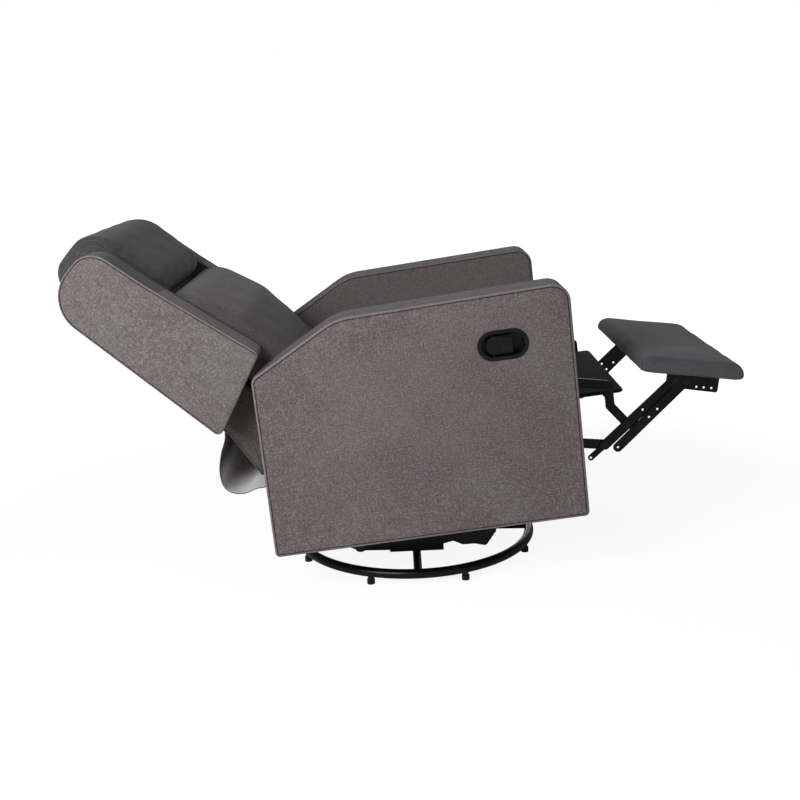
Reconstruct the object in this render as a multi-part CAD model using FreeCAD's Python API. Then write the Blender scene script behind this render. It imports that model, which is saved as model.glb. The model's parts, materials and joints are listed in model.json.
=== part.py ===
import FreeCAD
import Part
import math
import os
from FreeCAD import Vector

# Swivel glider recliner. Millimetres; +X is the chair's front, -Y the sitter's right, +Z up.
# The origin is on the floor on the swivel axis. The chair stands as it rests when laid back:
# footrest out, back reclined, and the body swung forward and tipped back on its glide links.

# ---- body and posture ----
body_tilt = 5.5            # lean of the whole body at rest, degrees
overall_width = 728.0
arm_thickness = 94.0
arm_bottom = 141.0         # heights and places from here on are in the body's own frame
arm_height = 647.0
arm_front = 386.0
arm_front_lean = 7.0       # the front edge leans forward by this much at the top
arm_bend = -90.0           # where the level top turns down to the rear
arm_rear = -293.0
arm_rear_height = 535.0
arm_rear_lean = 13.0
panel_thickness = 12.0
frame_beam = 38.0
soft_gap = 0.3
inner_face = overall_width / 2 - arm_thickness      # inner faces of the arms, from the middle plane

# ---- ring base ----
ring_radius = 280.0
ring_tube = 11.0
ring_height = 27.0
base_arm_tube = 9.5
base_arm_rise = 9.0
foot_radius = 9.0
foot_neck = 6.5
foot_pad = 11.0
foot_count = 8
hub_radius = 44.0
hub_floor = 25.0
hub_height = 62.0
king_pin_radius = 8.0
bearing_height = 8.0
plate_thickness = 3.0

# ---- glide ----
glide_link_length = 120.0
glide_span_low = 300.0     # between the lower pivots, front to rear
glide_splay = 18.4         # lean of each link when the chair stands level, degrees
glide_rear_swing = 20.1    # swing of each link from there to the rest pose, degrees
glide_front_swing = 21.5
glide_shift = -20.0
glide_pivot_height = 190.0
glide_inset = 74.0         # from the arms' inner faces to the swivelling brackets
glide_plane = inner_face - glide_inset
pivot_radius = 4.0
running_clearance = 0.05
open_pivot_clearance = 2.2
plate_gap = 1.5
washer_radius = 7.0
link_half_width = 11.0

# ---- seat ----
seat_height = 485.0
seat_pad = 50.7
seat_strap = 2.5
strap_count = 5
seat_rear = -124.0
seat_rail_rear = -100.0
seat_front = 375.0
seat_rail_top = seat_height - seat_pad - seat_strap - soft_gap
seat_rail_depth = 56.0
rail_thickness = 22.0

# ---- footrest linkage, in the body's frame ----
pivot_drop = 13.5                 # of the front pivot below the tops of the seat rails
front_pivot = (332.0, seat_rail_top - pivot_drop)
link_reach = (175.0, -125.0)      # front pivot to crossing pivot
crank_elbow = (140.0, -30.0)      # from the front pivot
crank_knee = (140.0, -78.0)       # from the front pivot
rear_link_knee = (114.6, -113.4)  # from the rear pivot
spring_lug = (-34.0, -25.0)       # from the heel pivot
crossing_to_heel = (-55.2, -38.8)
crossing_to_toe = (107.5, 86.2)
footrest_slope = 13.1
toe_spacing = 24.0
short_link_tail = 66.0            # past the tip pivot
mech_inset = 40.0                 # from the arms' inner faces to the side plates
mech_plane = inner_face - mech_inset
torque_tube_radius = 10.0
crank_hub_wall = 5.0
footrest_depth = 230.0
footrest_side_gap = 4.5
footrest_width = 2 * (inner_face - footrest_side_gap)
footrest_board = 10.0
deck_margin = 1.5
footrest_corner = 10.0
footrest_roll = 17.0
footrest_crown = 4.0
footrest_pad = 26.0
toe_to_footrest = (-75.5, 33.8)   # toe pivot to the footrest's lower rear corner
bracket_rear = 62.0               # along the footrest from that corner
bracket_length = 115.0
bracket_depth = 33.0
flap_depth = 124.0
flap_side_gap = 50.5
flap_width = 2 * (inner_face - flap_side_gap)
flap_thickness = 10.0
flap_drop = 57.0                  # of its underside below the front pivot
flap_tab = 42.0                   # of the brackets in under the flap
flap_gap = 9.0                    # from the seat cushion

# ---- back ----
back_lean = 43.2
back_corner = (-365.0, 426.0)     # lower rear corner of the wings
back_pivot = (-50.0, 300.0)
wing_length = 445.0
wing_rear = -4.5           # rear edges, behind the back board
wing_foot = -4.0
wing_foot_front = 41.0
wing_depth_low = 190.0
wing_depth_high = 156.0
wing_inset = 7.0           # from the arms' outer faces
wing_outer = overall_width / 2 - wing_inset
back_pad_face = 100.0
cushion_split = 271.0      # between the lumbar cushion and the head pillow
split_gap = 3.0            # each side of it
lumbar_depth = 118.0
lumbar_drop = 112.0
cushion_end = 36.0         # rounding of the cushions' ends
pillow_depth = 73.0
pillow_rise = 30.0         # above the wings
stile_inset = 38.0
stile_face = inner_face - stile_inset
stile_rear = 12.0
stile_front = 70.0
back_foot = -130.0         # lower ends of the stiles
back_arm_inset = 16.0
back_arm_plane = inner_face - back_arm_inset
back_arm_plate = 4.0
back_arm_half_width = 15.0
stile_step = 90.0         # along the back, where the stiles widen above the hinge arms

# ---- release lever ----
lever_centre = (arm_front - 141.0, arm_height - 111.0)
cup_length = 100.0
cup_height = 58.0
cup_depth = 27.0
cup_wall = 2.5

side_outer = mech_plane + plate_thickness


# ---- helpers ----
def turned(point, degrees):
    # turns an (x, z) pair so that positive angles raise the front
    a = math.radians(degrees)
    x, z = point
    return (x * math.cos(a) - z * math.sin(a), x * math.sin(a) + z * math.cos(a))


def plus(p, q):
    return (p[0] + q[0], p[1] + q[1])


def minus(p, q):
    return (p[0] - q[0], p[1] - q[1])


def along(p, q, share):
    return (p[0] + (q[0] - p[0]) * share, p[1] + (q[1] - p[1]) * share)


def rounded_wire(corners):
    # corners are (x, z, radius); each corner is a tangent arc between two straight runs
    edges = []
    ends = []
    count = len(corners)
    for i in range(count):
        x, z, r = corners[i]
        before = corners[i - 1]
        after = corners[(i + 1) % count]
        a = Vector(before[0] - x, 0, before[1] - z).normalize()
        b = Vector(after[0] - x, 0, after[1] - z).normalize()
        p = Vector(x, 0, z)
        if r <= 0:
            ends.append((p, p))
            continue
        half = a.getAngle(b) / 2
        reach = r / math.tan(half)
        middle = (a + b).normalize() * (r / math.sin(half) - r)
        first, last = p + a * reach, p + b * reach
        edges.append(Part.Arc(first, p + middle, last).toShape())
        ends.append((first, last))
    for i in range(count):
        start = ends[i][1]
        stop = ends[(i + 1) % count][0]
        if start.distanceToPoint(stop) > 1e-6:
            edges.append(Part.LineSegment(start, stop).toShape())
    return Part.Wire(Part.__sortEdges__(edges))


def prism(corners, y0, y1):
    low, high = min(y0, y1), max(y0, y1)
    face = Part.Face(rounded_wire(corners))
    face.translate(Vector(0, low, 0))
    return face.extrude(Vector(0, high - low, 0))


def box(x0, x1, y0, y1, z0, z1):
    return Part.makeBox(x1 - x0, y1 - y0, z1 - z0, Vector(x0, y0, z0))


def rod(point, radius, y0, y1):
    low, high = min(y0, y1), max(y0, y1)
    return Part.makeCylinder(radius, high - low, Vector(point[0], low, point[1]), Vector(0, 1, 0))


def capsule(p, q, half, y0, y1):
    # a flat bar with round ends about p and q
    dx, dz = minus(q, p)
    length = math.hypot(dx, dz)
    nx, nz = -dz / length * half, dx / length * half
    ux, uz = dx / length * half, dz / length * half
    a, b = (p[0] + nx, p[1] + nz), (q[0] + nx, q[1] + nz)
    c, d = (q[0] - nx, q[1] - nz), (p[0] - nx, p[1] - nz)
    tip_q, tip_p = (q[0] + ux, q[1] + uz), (p[0] - ux, p[1] - uz)
    low, high = min(y0, y1), max(y0, y1)

    def at(point):
        return Vector(point[0], low, point[1])

    edges = [Part.LineSegment(at(a), at(b)).toShape(), Part.Arc(at(b), at(tip_q), at(c)).toShape()]
    edges += [Part.LineSegment(at(c), at(d)).toShape(), Part.Arc(at(d), at(tip_p), at(a)).toShape()]
    return Part.Face(Part.Wire(edges)).extrude(Vector(0, high - low, 0))


def bar(points, half, y0, y1):
    # a bent flat bar: round-ended legs joined at their shared points
    legs = [capsule(points[i], points[i + 1], half, y0, y1) for i in range(len(points) - 1)]
    shape = legs[0]
    for leg in legs[1:]:
        shape = shape.fuse(leg)
    return shape.removeSplitter()


def drilled(shape, points, radius, y0, y1):
    margin = 1.0
    low, high = min(y0, y1) - margin, max(y0, y1) + margin
    for point in points:
        shape = shape.cut(rod(point, radius, low, high))
    return shape


def rivet(point, y0, y1, shoulders=(), head=1.3, far_head=None):
    # a shank from y0 out to y1 with a thin head at each end and a shoulder washer in each gap
    slack = 0.1
    far_head = head if far_head is None else far_head
    shape = rod(point, pivot_radius, y0 - slack - head, y1 + slack + far_head)
    shape = shape.fuse(rod(point, washer_radius, y0 - slack - head, y0 - slack))
    shape = shape.fuse(rod(point, washer_radius, y1 + slack, y1 + slack + far_head))
    for low, high in shoulders:
        shape = shape.fuse(rod(point, washer_radius, low + slack, high - slack))
    return shape.removeSplitter()


def mirrored(shape):
    return shape.mirror(Vector(0, 0, 0), Vector(0, 1, 0))


def pair(shape):
    return Part.makeCompound([shape, mirrored(shape)])


def in_body(shape):
    # from the body's level frame to the tipped rest pose
    placed = shape.copy()
    placed.rotate(Vector(0, 0, 0), Vector(0, -1, 0), body_tilt)
    return placed


def in_back(shape):
    # from the back's own frame, X towards the sitter and Z along the back, to the body frame
    placed = shape.copy()
    placed.rotate(Vector(0, 0, 0), Vector(0, -1, 0), back_lean)
    placed.translate(Vector(back_corner[0], 0, back_corner[1]))
    return in_body(placed)


def in_footrest(shape):
    # from the footrest's own frame, X forward along its board, to the body frame
    placed = shape.copy()
    placed.rotate(Vector(0, 0, 0), Vector(0, -1, 0), -footrest_slope)
    placed.translate(Vector(footrest_rear[0], 0, footrest_rear[1]))
    return in_body(placed)


def inset(corners, distance):
    # the same outline drawn in by a distance; the corners run anticlockwise seen from the right
    moved = []
    count = len(corners)
    for i in range(count):
        x, z, r = corners[i]
        bx, bz = corners[i - 1][0], corners[i - 1][1]
        ax, az = corners[(i + 1) % count][0], corners[(i + 1) % count][1]
        u = Vector(x - bx, z - bz, 0).normalize()
        v = Vector(ax - x, az - z, 0).normalize()
        n1 = Vector(-u.y, u.x, 0)
        n2 = Vector(-v.y, v.x, 0)
        bisector = (n1 + n2).normalize()
        reach = distance / bisector.dot(n1)
        moved.append((x + bisector.x * reach, z + bisector.y * reach, max(r - distance, 2.0)))
    return moved


# ---- ring base ----
def torus_ring():
    return Part.makeTorus(ring_radius, ring_tube, Vector(0, 0, ring_height))


def base_arm(angle):
    # a tube from the hub to the ring, coped at both ends
    start = Vector(0, 0, ring_height + base_arm_rise)
    stop = Vector(ring_radius, 0, ring_height)
    tube = Part.makeCylinder(base_arm_tube, (stop - start).Length, start, stop - start)
    tube = tube.cut(Part.makeCylinder(hub_radius, hub_height * 2, Vector(0, 0, -hub_height)))
    tube = tube.cut(torus_ring())
    inside = [s for s in tube.Solids if s.CenterOfMass.x < ring_radius]
    arm = max(inside, key=lambda s: s.Volume)
    arm.rotate(Vector(0, 0, 0), Vector(0, 0, 1), angle)
    return arm


def base_foot(angle):
    # a moulded glide: a round pad on a neck coped to the ring
    pad = Part.makeCylinder(foot_radius, foot_pad, Vector(ring_radius, 0, 0))
    neck = Part.makeCylinder(foot_neck, ring_height, Vector(ring_radius, 0, 0)).cut(torus_ring())
    neck = min(neck.Solids, key=lambda s: s.CenterOfMass.z)
    foot = pad.fuse(neck).removeSplitter()
    foot.rotate(Vector(0, 0, 0), Vector(0, 0, 1), angle)
    return foot


def base_hub():
    # a turned cup: a floor with the king pin's bore, and a wall that carries the bearing
    wall = 6.0
    floor = 8.0
    shape = Part.makeCylinder(hub_radius, hub_height - hub_floor, Vector(0, 0, hub_floor))
    pocket = Part.makeCylinder(hub_radius - wall, hub_height, Vector(0, 0, hub_floor + floor))
    boss = Part.makeCylinder(king_pin_radius + wall, hub_height - hub_floor, Vector(0, 0, hub_floor))
    bore = Part.makeCylinder(king_pin_radius, hub_height * 2, Vector(0, 0, 0))
    return shape.cut(pocket).fuse(boss).cut(bore).removeSplitter()


def thrust_bearing():
    # a ring between hub and swivel plate, with a raceway groove round its rim
    groove = 2.0
    base = hub_height + 0.1
    height = bearing_height - 0.2
    ring = Part.makeCylinder(hub_radius, height, Vector(0, 0, base))
    ring = ring.cut(Part.makeCylinder(king_pin_radius + 8, height, Vector(0, 0, base)))
    race = Part.makeTorus(hub_radius, groove, Vector(0, 0, base + height / 2))
    return ring.cut(race)


swivel_plate_low = hub_height + bearing_height


def king_pin():
    # a bolt up through hub and swivel plate, with a head below and a nut on top
    head = 6.0
    top = swivel_plate_low + plate_thickness
    shank = Part.makeCylinder(king_pin_radius, top - hub_floor + head * 2, Vector(0, 0, hub_floor - head))
    bolt_head = Part.makeCylinder(king_pin_radius * 1.7, head, Vector(0, 0, hub_floor - head))
    hexagon = Part.makePolygon([Vector(king_pin_radius * 1.7 * math.cos(math.radians(60 * i)),
                                       king_pin_radius * 1.7 * math.sin(math.radians(60 * i)),
                                       top + 0.1) for i in range(7)])
    nut = Part.Face(hexagon).extrude(Vector(0, 0, head))
    return shank.fuse(bolt_head).fuse(nut).removeSplitter()


# ---- swivelling carriage ----
glide_span_high = glide_span_low - 2 * glide_link_length * math.sin(math.radians(glide_splay))
rear_upper = (glide_shift - glide_span_high / 2, glide_pivot_height)
front_upper = (glide_shift + glide_span_high / 2, glide_pivot_height)


def hanging(pivot, degrees):
    # the lower end of a link that hangs from a pivot, leaning forward by some degrees
    a = math.radians(degrees)
    return (pivot[0] + glide_link_length * math.sin(a), pivot[1] - glide_link_length * math.cos(a))


rear_lower = hanging(rear_upper, glide_rear_swing - glide_splay)
front_lower = hanging(front_upper, glide_front_swing + glide_splay)


def swivel_plate():
    # a pressed plate across the hub, folded down at both ends to meet the side brackets
    half_width = 62.0
    span = glide_plane
    low = swivel_plate_low
    fold = 22.0
    plate = box(-half_width, half_width, -span, span, low, low + plate_thickness)
    for side in (-1, 1):
        edge = side * (span - plate_thickness / 2)
        lip = box(-half_width, half_width, edge - plate_thickness / 2, edge + plate_thickness / 2,
                  low - fold, low)
        plate = plate.fuse(lip)
    bore = Part.makeCylinder(king_pin_radius + running_clearance, 40, Vector(0, 0, low - 10))
    plate = plate.cut(bore)
    window = 30.0
    for side in (-1, 1):
        hole = Part.makeCylinder(window, 20, Vector(0, side * span * 0.56, low - 5))
        plate = plate.cut(hole)
    return plate.removeSplitter()


def glide_bracket():
    # a pressed side plate: a boat-shaped lower edge, a tower at each upper pivot, and end lobes
    keel = 50.0
    waist = 70.0
    lobe = 56.0
    saddle = 112.0
    tower = 17.0
    ru, fu = rear_upper, front_upper
    corners = [(-160.0, lobe + 12, 9), (-134.0, lobe, 9), (-58.0, lobe - 2, 8), (8.0, keel, 14),
               (84.0, waist, 8), (106.0, lobe + 4, 8), (134.0, lobe + 5, 6), (160.0, lobe - 1, 9),
               (181.0, lobe + 30, 8), (150.0, saddle, 12),
               (fu[0] + tower + 4, saddle + 14, 8), (fu[0] + tower, fu[1] + tower, 16),
               (fu[0] - tower, fu[1] + tower, 16), (fu[0] - tower - 12, saddle, 14),
               (ru[0] + tower + 12, saddle, 14), (ru[0] + tower, ru[1] + tower, 16),
               (ru[0] - tower, ru[1] + tower, 16), (ru[0] - tower - 4, saddle, 10)]
    plate = prism(corners, -glide_plane, -glide_plane - plate_thickness)
    slot_half = 9.0
    window = capsule((ru[0] + 52, saddle - 20), (fu[0] - 52, saddle - 20), slot_half,
                     -glide_plane + 1, -glide_plane - plate_thickness - 1)
    plate = plate.cut(window)
    return drilled(plate, (ru, fu), pivot_radius, -glide_plane, -glide_plane - plate_thickness)


link_plane = glide_plane + plate_thickness + plate_gap
hanger_plane = link_plane + plate_thickness + plate_gap


def glide_link(upper, lower, open_end):
    # a flat link with a round eye at each end
    y0, y1 = -link_plane, -link_plane - plate_thickness
    shape = capsule(upper, lower, link_half_width, y0, y1)
    shape = shape.cut(rod(upper, pivot_radius + running_clearance, y0 + 1, y1 - 1))
    low_bore = pivot_radius + (open_pivot_clearance if open_end else running_clearance)
    return shape.cut(rod(lower, low_bore, y0 + 1, y1 - 1))


def glide_upper_pins():
    gap = (-link_plane, -glide_plane - plate_thickness)
    pins = [rivet(p, -link_plane - plate_thickness, -glide_plane, (gap,)) for p in (rear_upper, front_upper)]
    return Part.makeCompound(pins + [mirrored(p) for p in pins])


def glide_lower_pins():
    gap = (-hanger_plane, -link_plane - plate_thickness)
    pins = [rivet(p, -hanger_plane - plate_thickness, -link_plane, (gap,)) for p in (rear_lower, front_lower)]
    return Part.makeCompound(pins + [mirrored(p) for p in pins])


# ---- body: steel ----
angle_top = 188.0
base_rail_height = 40.0
base_rail_rear = arm_rear + 28.0


def level(point):
    # a point of the rest pose, in the body's level frame
    return turned(point, -body_tilt)


def glide_hanger():
    # the body's side of the glide: a plate with a leg to each lower pivot and a flange on top
    eye = 14.0
    r, f = level(rear_lower), level(front_lower)
    top = angle_top - plate_thickness
    beam = 34.0
    y0, y1 = -hanger_plane, -hanger_plane - plate_thickness
    plate = prism([(r[0] - 34, top, 3), (r[0] - 34, top - beam, 12),
                   (r[0] - eye, r[1], 8), (r[0] - eye, r[1] - eye, 13),
                   (r[0] + eye, r[1] - eye, 13), (r[0] + eye, r[1], 12), (r[0] + 40, top - beam, 14),
                   (f[0] - 50, top - beam, 14), (f[0] - eye, f[1], 12), (f[0] - eye, f[1] - eye, 13),
                   (f[0] + eye, f[1] - eye, 13), (f[0] + eye, f[1], 8), (f[0] + 24, top - beam, 12),
                   (f[0] + 24, top, 3)], y0, y1)
    flange = box(r[0] - 30, f[0] + 20, -mech_plane, y0, top - plate_thickness, top)
    shape = plate.fuse(flange).removeSplitter()
    return drilled(shape, (r, f), pivot_radius, y0, y1)


def mount_angle():
    # an angle bar along each side that ties the glide hanger, the side plate and the base rail
    length_rear, length_front = base_rail_rear, level(front_lower)[0] + 27.0
    width = mech_plane - hanger_plane
    leg = 30.0
    flat = box(length_rear, length_front, -mech_plane, -mech_plane + width,
               angle_top - plate_thickness, angle_top)
    wall = box(length_rear, length_front, -mech_plane, -mech_plane + plate_thickness,
               angle_top, angle_top + leg)
    return flat.fuse(wall).removeSplitter()


def linkage_points():
    # the open pose; both loops are parallelograms, so every link turns or shifts by the same angle
    crossing = plus(front_pivot, link_reach)
    heel = plus(crossing, crossing_to_heel)
    rear_pivot = minus(heel, link_reach)
    toe = plus(crossing, crossing_to_toe)
    step = turned((toe_spacing, 0), -footrest_slope)
    return {"front": front_pivot, "rear": rear_pivot, "crossing": crossing, "heel": heel,
            "toe": toe, "tip": plus(crossing, step), "toe_front": plus(toe, step)}


points = linkage_points()
crank_plane = side_outer + plate_gap
long_plane = crank_plane + plate_thickness + plate_gap
short_plane = long_plane + plate_thickness + plate_gap
bracket_plane = short_plane + plate_thickness + plate_gap


cross_tube_size = 25.0
cross_tube_low = angle_top + 74.0
front_tube_corner = (88.0, cross_tube_low)     # this tube goes through both side plates and carries the arms
rear_tube_corner = (-110.0, cross_tube_low)
footrest_rear = plus(points["toe"], toe_to_footrest)


def side_plate():
    # the mechanism's main plate: a level arm forward to the footrest pivots, a deep web behind
    top = seat_rail_top
    web_front, web_rear = 118.0, -125.0
    neck = top - 131.5
    arm_low = top - 70.5
    front, front_low = points["front"]
    corners = [(web_rear, angle_top, 6), (web_front, angle_top, 10), (web_front, neck, 40),
               (190.0, arm_low, 30), (points["rear"][0] + 4, arm_low, 14), (front - 2, front_low - 17, 14),
               (front + 16, front_low - 14, 10), (front + 16, top, 10),
               (60.0, top, 8), (-20.0, top - 59.5, 40), (web_rear, neck, 30)]
    plate = prism(corners, -mech_plane, -side_outer)
    y0, y1 = -mech_plane, -side_outer
    x, z = front_tube_corner
    low = angle_top + 37
    window = prism([(-20, low, 14), (x - 20, low, 14), (x - 20, z + 6, 18), (x - 56, neck + 26, 18),
                    (-20, neck + 16, 14)], y0 + 1, y1 - 1)
    plate = plate.cut(window)
    plate = plate.cut(box(x, x + cross_tube_size, y1 - 1, y0 + 1, z, z + cross_tube_size))
    plate = drilled(plate, (points["rear"], back_pivot), pivot_radius, y0, y1)
    return drilled(plate, (points["front"],), torque_tube_radius + running_clearance, y0, y1)


def cross_tube(corner, reach):
    # a square tube across the body; corner is its lower rear edge
    x, z = corner
    size = cross_tube_size
    wall = 2.0
    outer = box(x, x + size, -reach, reach, z, z + size)
    return outer.cut(box(x + wall, x + size - wall, -reach, reach, z + wall, z + size - wall))


def body_rivets():
    slack = 0.1
    rear = rod(points["rear"], pivot_radius, -mech_plane, -crank_plane - plate_thickness - slack - 1.3)
    rear = rear.fuse(rod(points["rear"], washer_radius, -side_outer - slack, -crank_plane + slack))
    rear = rear.fuse(rod(points["rear"], washer_radius, -crank_plane - plate_thickness - slack,
                         -crank_plane - plate_thickness - slack - 1.3))
    outer = back_arm_plane + back_arm_plate
    hinge = rod(back_pivot, pivot_radius, -mech_plane, -outer - slack - 3)
    hinge = hinge.fuse(rod(back_pivot, washer_radius + 1, -side_outer, -back_arm_plane + slack))
    hinge = hinge.fuse(rod(back_pivot, washer_radius + 1, -outer - slack, -outer - slack - 3))
    both = [rear.removeSplitter(), hinge.removeSplitter()]
    return Part.makeCompound(both + [mirrored(s) for s in both])


# ---- footrest linkage ----
def footrest_crank():
    # the bent front link that also carries the flap
    y0, y1 = -crank_plane, -crank_plane - plate_thickness
    elbow = plus(front_pivot, crank_elbow)
    knee = plus(front_pivot, crank_knee)
    path = [points["front"], elbow, knee, points["crossing"], points["tip"]]
    shape = bar(path, link_half_width - 1, y0, y1)
    hub = rod(points["front"], torque_tube_radius + crank_hub_wall, y0, y1)
    shape = shape.fuse(hub).removeSplitter()
    shape = drilled(shape, (points["crossing"], points["tip"]), pivot_radius, y0, y1)
    return drilled(shape, (points["front"],), torque_tube_radius, y0, y1)


def torque_tube():
    # joins the two cranks; it turns in the side plates
    wall = 2.0
    reach = crank_plane + plate_thickness
    tube = rod(points["front"], torque_tube_radius, -reach, reach)
    return tube.cut(rod(points["front"], torque_tube_radius - wall, -reach, reach))


def rear_link():
    y0, y1 = -crank_plane, -crank_plane - plate_thickness
    knee = plus(points["rear"], rear_link_knee)
    shape = bar([points["rear"], knee, points["heel"]], link_half_width, y0, y1)
    bore = pivot_radius + running_clearance
    shape = drilled(shape, (points["rear"],), bore, y0, y1)
    return drilled(shape, (points["heel"],), pivot_radius + 0.4, y0, y1)


def long_link():
    # from the heel pivot past the crossing to the footrest; a lug below takes a spring
    y0, y1 = -long_plane, -long_plane - plate_thickness
    heel, toe = points["heel"], points["toe"]
    lug = plus(heel, spring_lug)
    shape = bar([heel, toe], link_half_width, y0, y1)
    shape = shape.fuse(capsule(heel, lug, 6.5, y0, y1)).removeSplitter()
    shape = drilled(shape, (lug, along(heel, toe, 0.55)), 2.6, y0, y1)
    shape = drilled(shape, (points["crossing"],), pivot_radius + running_clearance, y0, y1)
    return drilled(shape, (heel, toe), pivot_radius, y0, y1)


def short_link():
    # the outer link beside the long one, with a tail that guards the heel pivot
    y0, y1 = -short_plane, -short_plane - plate_thickness
    a, b = points["tip"], points["toe_front"]
    tail = along(a, b, -short_link_tail / math.dist(a, b))
    shape = capsule(tail, b, link_half_width - 0.5, y0, y1)
    shape = drilled(shape, (tail, along(a, b, 0.21), along(a, b, 0.39)), 2.6, y0, y1)
    shape = drilled(shape, (a,), pivot_radius + running_clearance, y0, y1)
    return drilled(shape, (b,), pivot_radius + 0.4, y0, y1)


def footrest_bracket():
    # an angle under the footrest board: a side plate with both toe pivots and three screw holes
    rear, front, depth = bracket_rear, bracket_rear + bracket_length, bracket_depth
    y0, y1 = -bracket_plane, -bracket_plane - plate_thickness
    plate = prism([(rear, -depth * 0.9, 12), (front, -depth, 5), (front, 0, 0), (rear, 0, 0)], y0, y1)
    flange = box(rear, front, y0, -mech_plane + 8, -plate_thickness, 0)
    shape = plate.fuse(flange).removeSplitter()
    for back in (47.0, 31.0, 14.0):
        shape = shape.cut(rod((front - back, 9.0 - depth), 2.6, y0 + 1, y1 - 1))
    for name, clearance in (("toe", running_clearance), ("toe_front", 0.0)):
        local = turned(minus(points[name], footrest_rear), footrest_slope)
        shape = shape.cut(rod(local, pivot_radius + clearance, y0 + 1, y1 - 1))
    return shape


def crank_rivets():
    # crossing and tip pivots, fixed in the cranks
    near = -crank_plane
    crossing = rivet(points["crossing"], -long_plane - plate_thickness, near,
                     ((-long_plane, near - plate_thickness),), 1.2)
    tip = rivet(points["tip"], -short_plane - plate_thickness, near,
                ((-long_plane, near - plate_thickness),), 1.2)
    both = [crossing, tip]
    return Part.makeCompound(both + [mirrored(s) for s in both])


def long_link_rivets():
    # heel and toe pivots, fixed in the long links
    heel = rivet(points["heel"], -long_plane - plate_thickness, -crank_plane,
                 ((-long_plane, -crank_plane - plate_thickness),), 1.2)
    toe = rivet(points["toe"], -bracket_plane - plate_thickness, -long_plane,
                ((-bracket_plane, -long_plane - plate_thickness),), 1.2)
    both = [heel, toe]
    return Part.makeCompound(both + [mirrored(s) for s in both])


def footrest_rivets():
    tip = rivet(points["toe_front"], -bracket_plane - plate_thickness, -short_plane,
                ((-bracket_plane, -short_plane - plate_thickness),), 1.2)
    return Part.makeCompound([tip, mirrored(tip)])


def plan_prism(corners, low, high):
    # corners are (x, y, radius), drawn out upwards from low to high
    shape = prism(corners, low, high)
    shape.rotate(Vector(0, 0, 0), Vector(1, 0, 0), 90)
    return shape


def footrest_deck():
    half = footrest_width / 2 - deck_margin
    front = footrest_depth - deck_margin
    deck = box(deck_margin, front, -half, half, 0, footrest_board)
    upright = [e for e in deck.Edges if abs(e.Vertexes[0].Z - e.Vertexes[1].Z) > 1]
    return deck.makeFillet(footrest_corner, upright)


def footrest_cushion():
    # a pad that is highest in its middle and rounds down to the board all round
    half = footrest_width / 2
    low = footrest_board + soft_gap
    high = footrest_board + footrest_pad
    shoulder = high - footrest_crown
    pad = prism([(0, low, 0), (footrest_depth, low, 0), (footrest_depth - 2, shoulder, footrest_roll),
                 (footrest_depth / 2, high, 600), (2, shoulder, footrest_roll)], -half, half)
    across = prism([(-half, low, 0), (half, low, 0), (half - 2, shoulder, footrest_roll), (0, high, 2000),
                    (2 - half, shoulder, footrest_roll)], -footrest_depth, 0)
    across.rotate(Vector(0, 0, 0), Vector(0, 0, 1), 90)
    rim = footrest_corner
    plan = plan_prism([(0, -half, rim), (footrest_depth, -half, rim), (footrest_depth, half, rim),
                       (0, half, rim)], low, high)
    return pad.common(across).common(plan)


flap_low = front_pivot[1] - flap_drop
flap_rear = seat_front + flap_gap


def flap_board():
    half = flap_width / 2
    board = box(flap_rear, flap_rear + flap_depth, -half, half, flap_low, flap_low + flap_thickness)
    upright = [e for e in board.Edges if abs(e.Vertexes[0].Z - e.Vertexes[1].Z) > 1]
    return board.makeFillet(9.0, upright)


def flap_bracket():
    # a tab from the crank in under the flap
    x = front_pivot[0] + crank_knee[0]
    reach = flap_width / 2 - flap_tab
    return box(x - 9, x + 9, -crank_plane, -reach, flap_low - plate_thickness, flap_low)


# ---- body: wood and straps ----
def base_rail():
    # ties the rear ends of the mount angles and carries the rear of the arms
    x = base_rail_rear
    top = angle_top - plate_thickness
    return box(x, x + rail_thickness, -inner_face, inner_face, top - base_rail_height, top)


rail_low = seat_rail_top - seat_rail_depth
rail_rear = seat_rail_rear
rail_front = front_pivot[0] - torque_tube_radius - 4


def seat_side_rail():
    return box(rail_rear, rail_front, -mech_plane, -mech_plane + rail_thickness, rail_low, seat_rail_top)


def seat_end_rail(x):
    half = mech_plane - rail_thickness
    return box(x, x + rail_thickness, -half, half, rail_low, seat_rail_top)


def seat_straps():
    width = 50.0
    clear = mech_plane - rail_thickness
    pitch = 2 * clear / strap_count
    low = seat_rail_top
    straps = []
    for i in range(strap_count):
        left = -clear + pitch * (i + 0.5) - width / 2
        straps.append(box(rail_rear, rail_front, left, left + width, low, low + seat_strap))
    return Part.makeCompound(straps)


def seat_cushion():
    low = seat_rail_top + seat_strap + soft_gap
    half = inner_face - 2
    pad = box(seat_rear, seat_front, -half, half, low, seat_height)
    rim = [e for e in pad.Edges if min(v.Z for v in e.Vertexes) > seat_height - 0.1]
    return pad.makeFillet(14.0, rim)


# ---- arms ----
def arm_outline():
    # anticlockwise seen from the sitter's right: rear foot, front foot, front top, bend, rear top
    return [(arm_rear, arm_bottom, 10), (arm_front, arm_bottom, 10),
            (arm_front + arm_front_lean, arm_height, 38), (arm_bend, arm_height - 10, 130),
            (arm_rear + arm_rear_lean, arm_rear_height, 20)]


arm_outer_face = overall_width / 2


def oval(length, height, y0, y1):
    half = height / 2
    reach = length / 2 - half
    a = (lever_centre[0] - reach, lever_centre[1])
    b = (lever_centre[0] + reach, lever_centre[1])
    return capsule(a, b, half, y0, y1)


def arm_outer_panel(with_cup):
    outer = arm_outer_face
    panel = prism(arm_outline(), -outer, -outer + panel_thickness)
    if with_cup:
        panel = panel.cut(oval(cup_length - 2 * cup_wall, cup_height - 2 * cup_wall, -outer - 1,
                               -outer + panel_thickness + 1))
    return panel


def arm_inner_panel():
    return prism(arm_outline(), -inner_face, -inner_face - panel_thickness)


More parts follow.
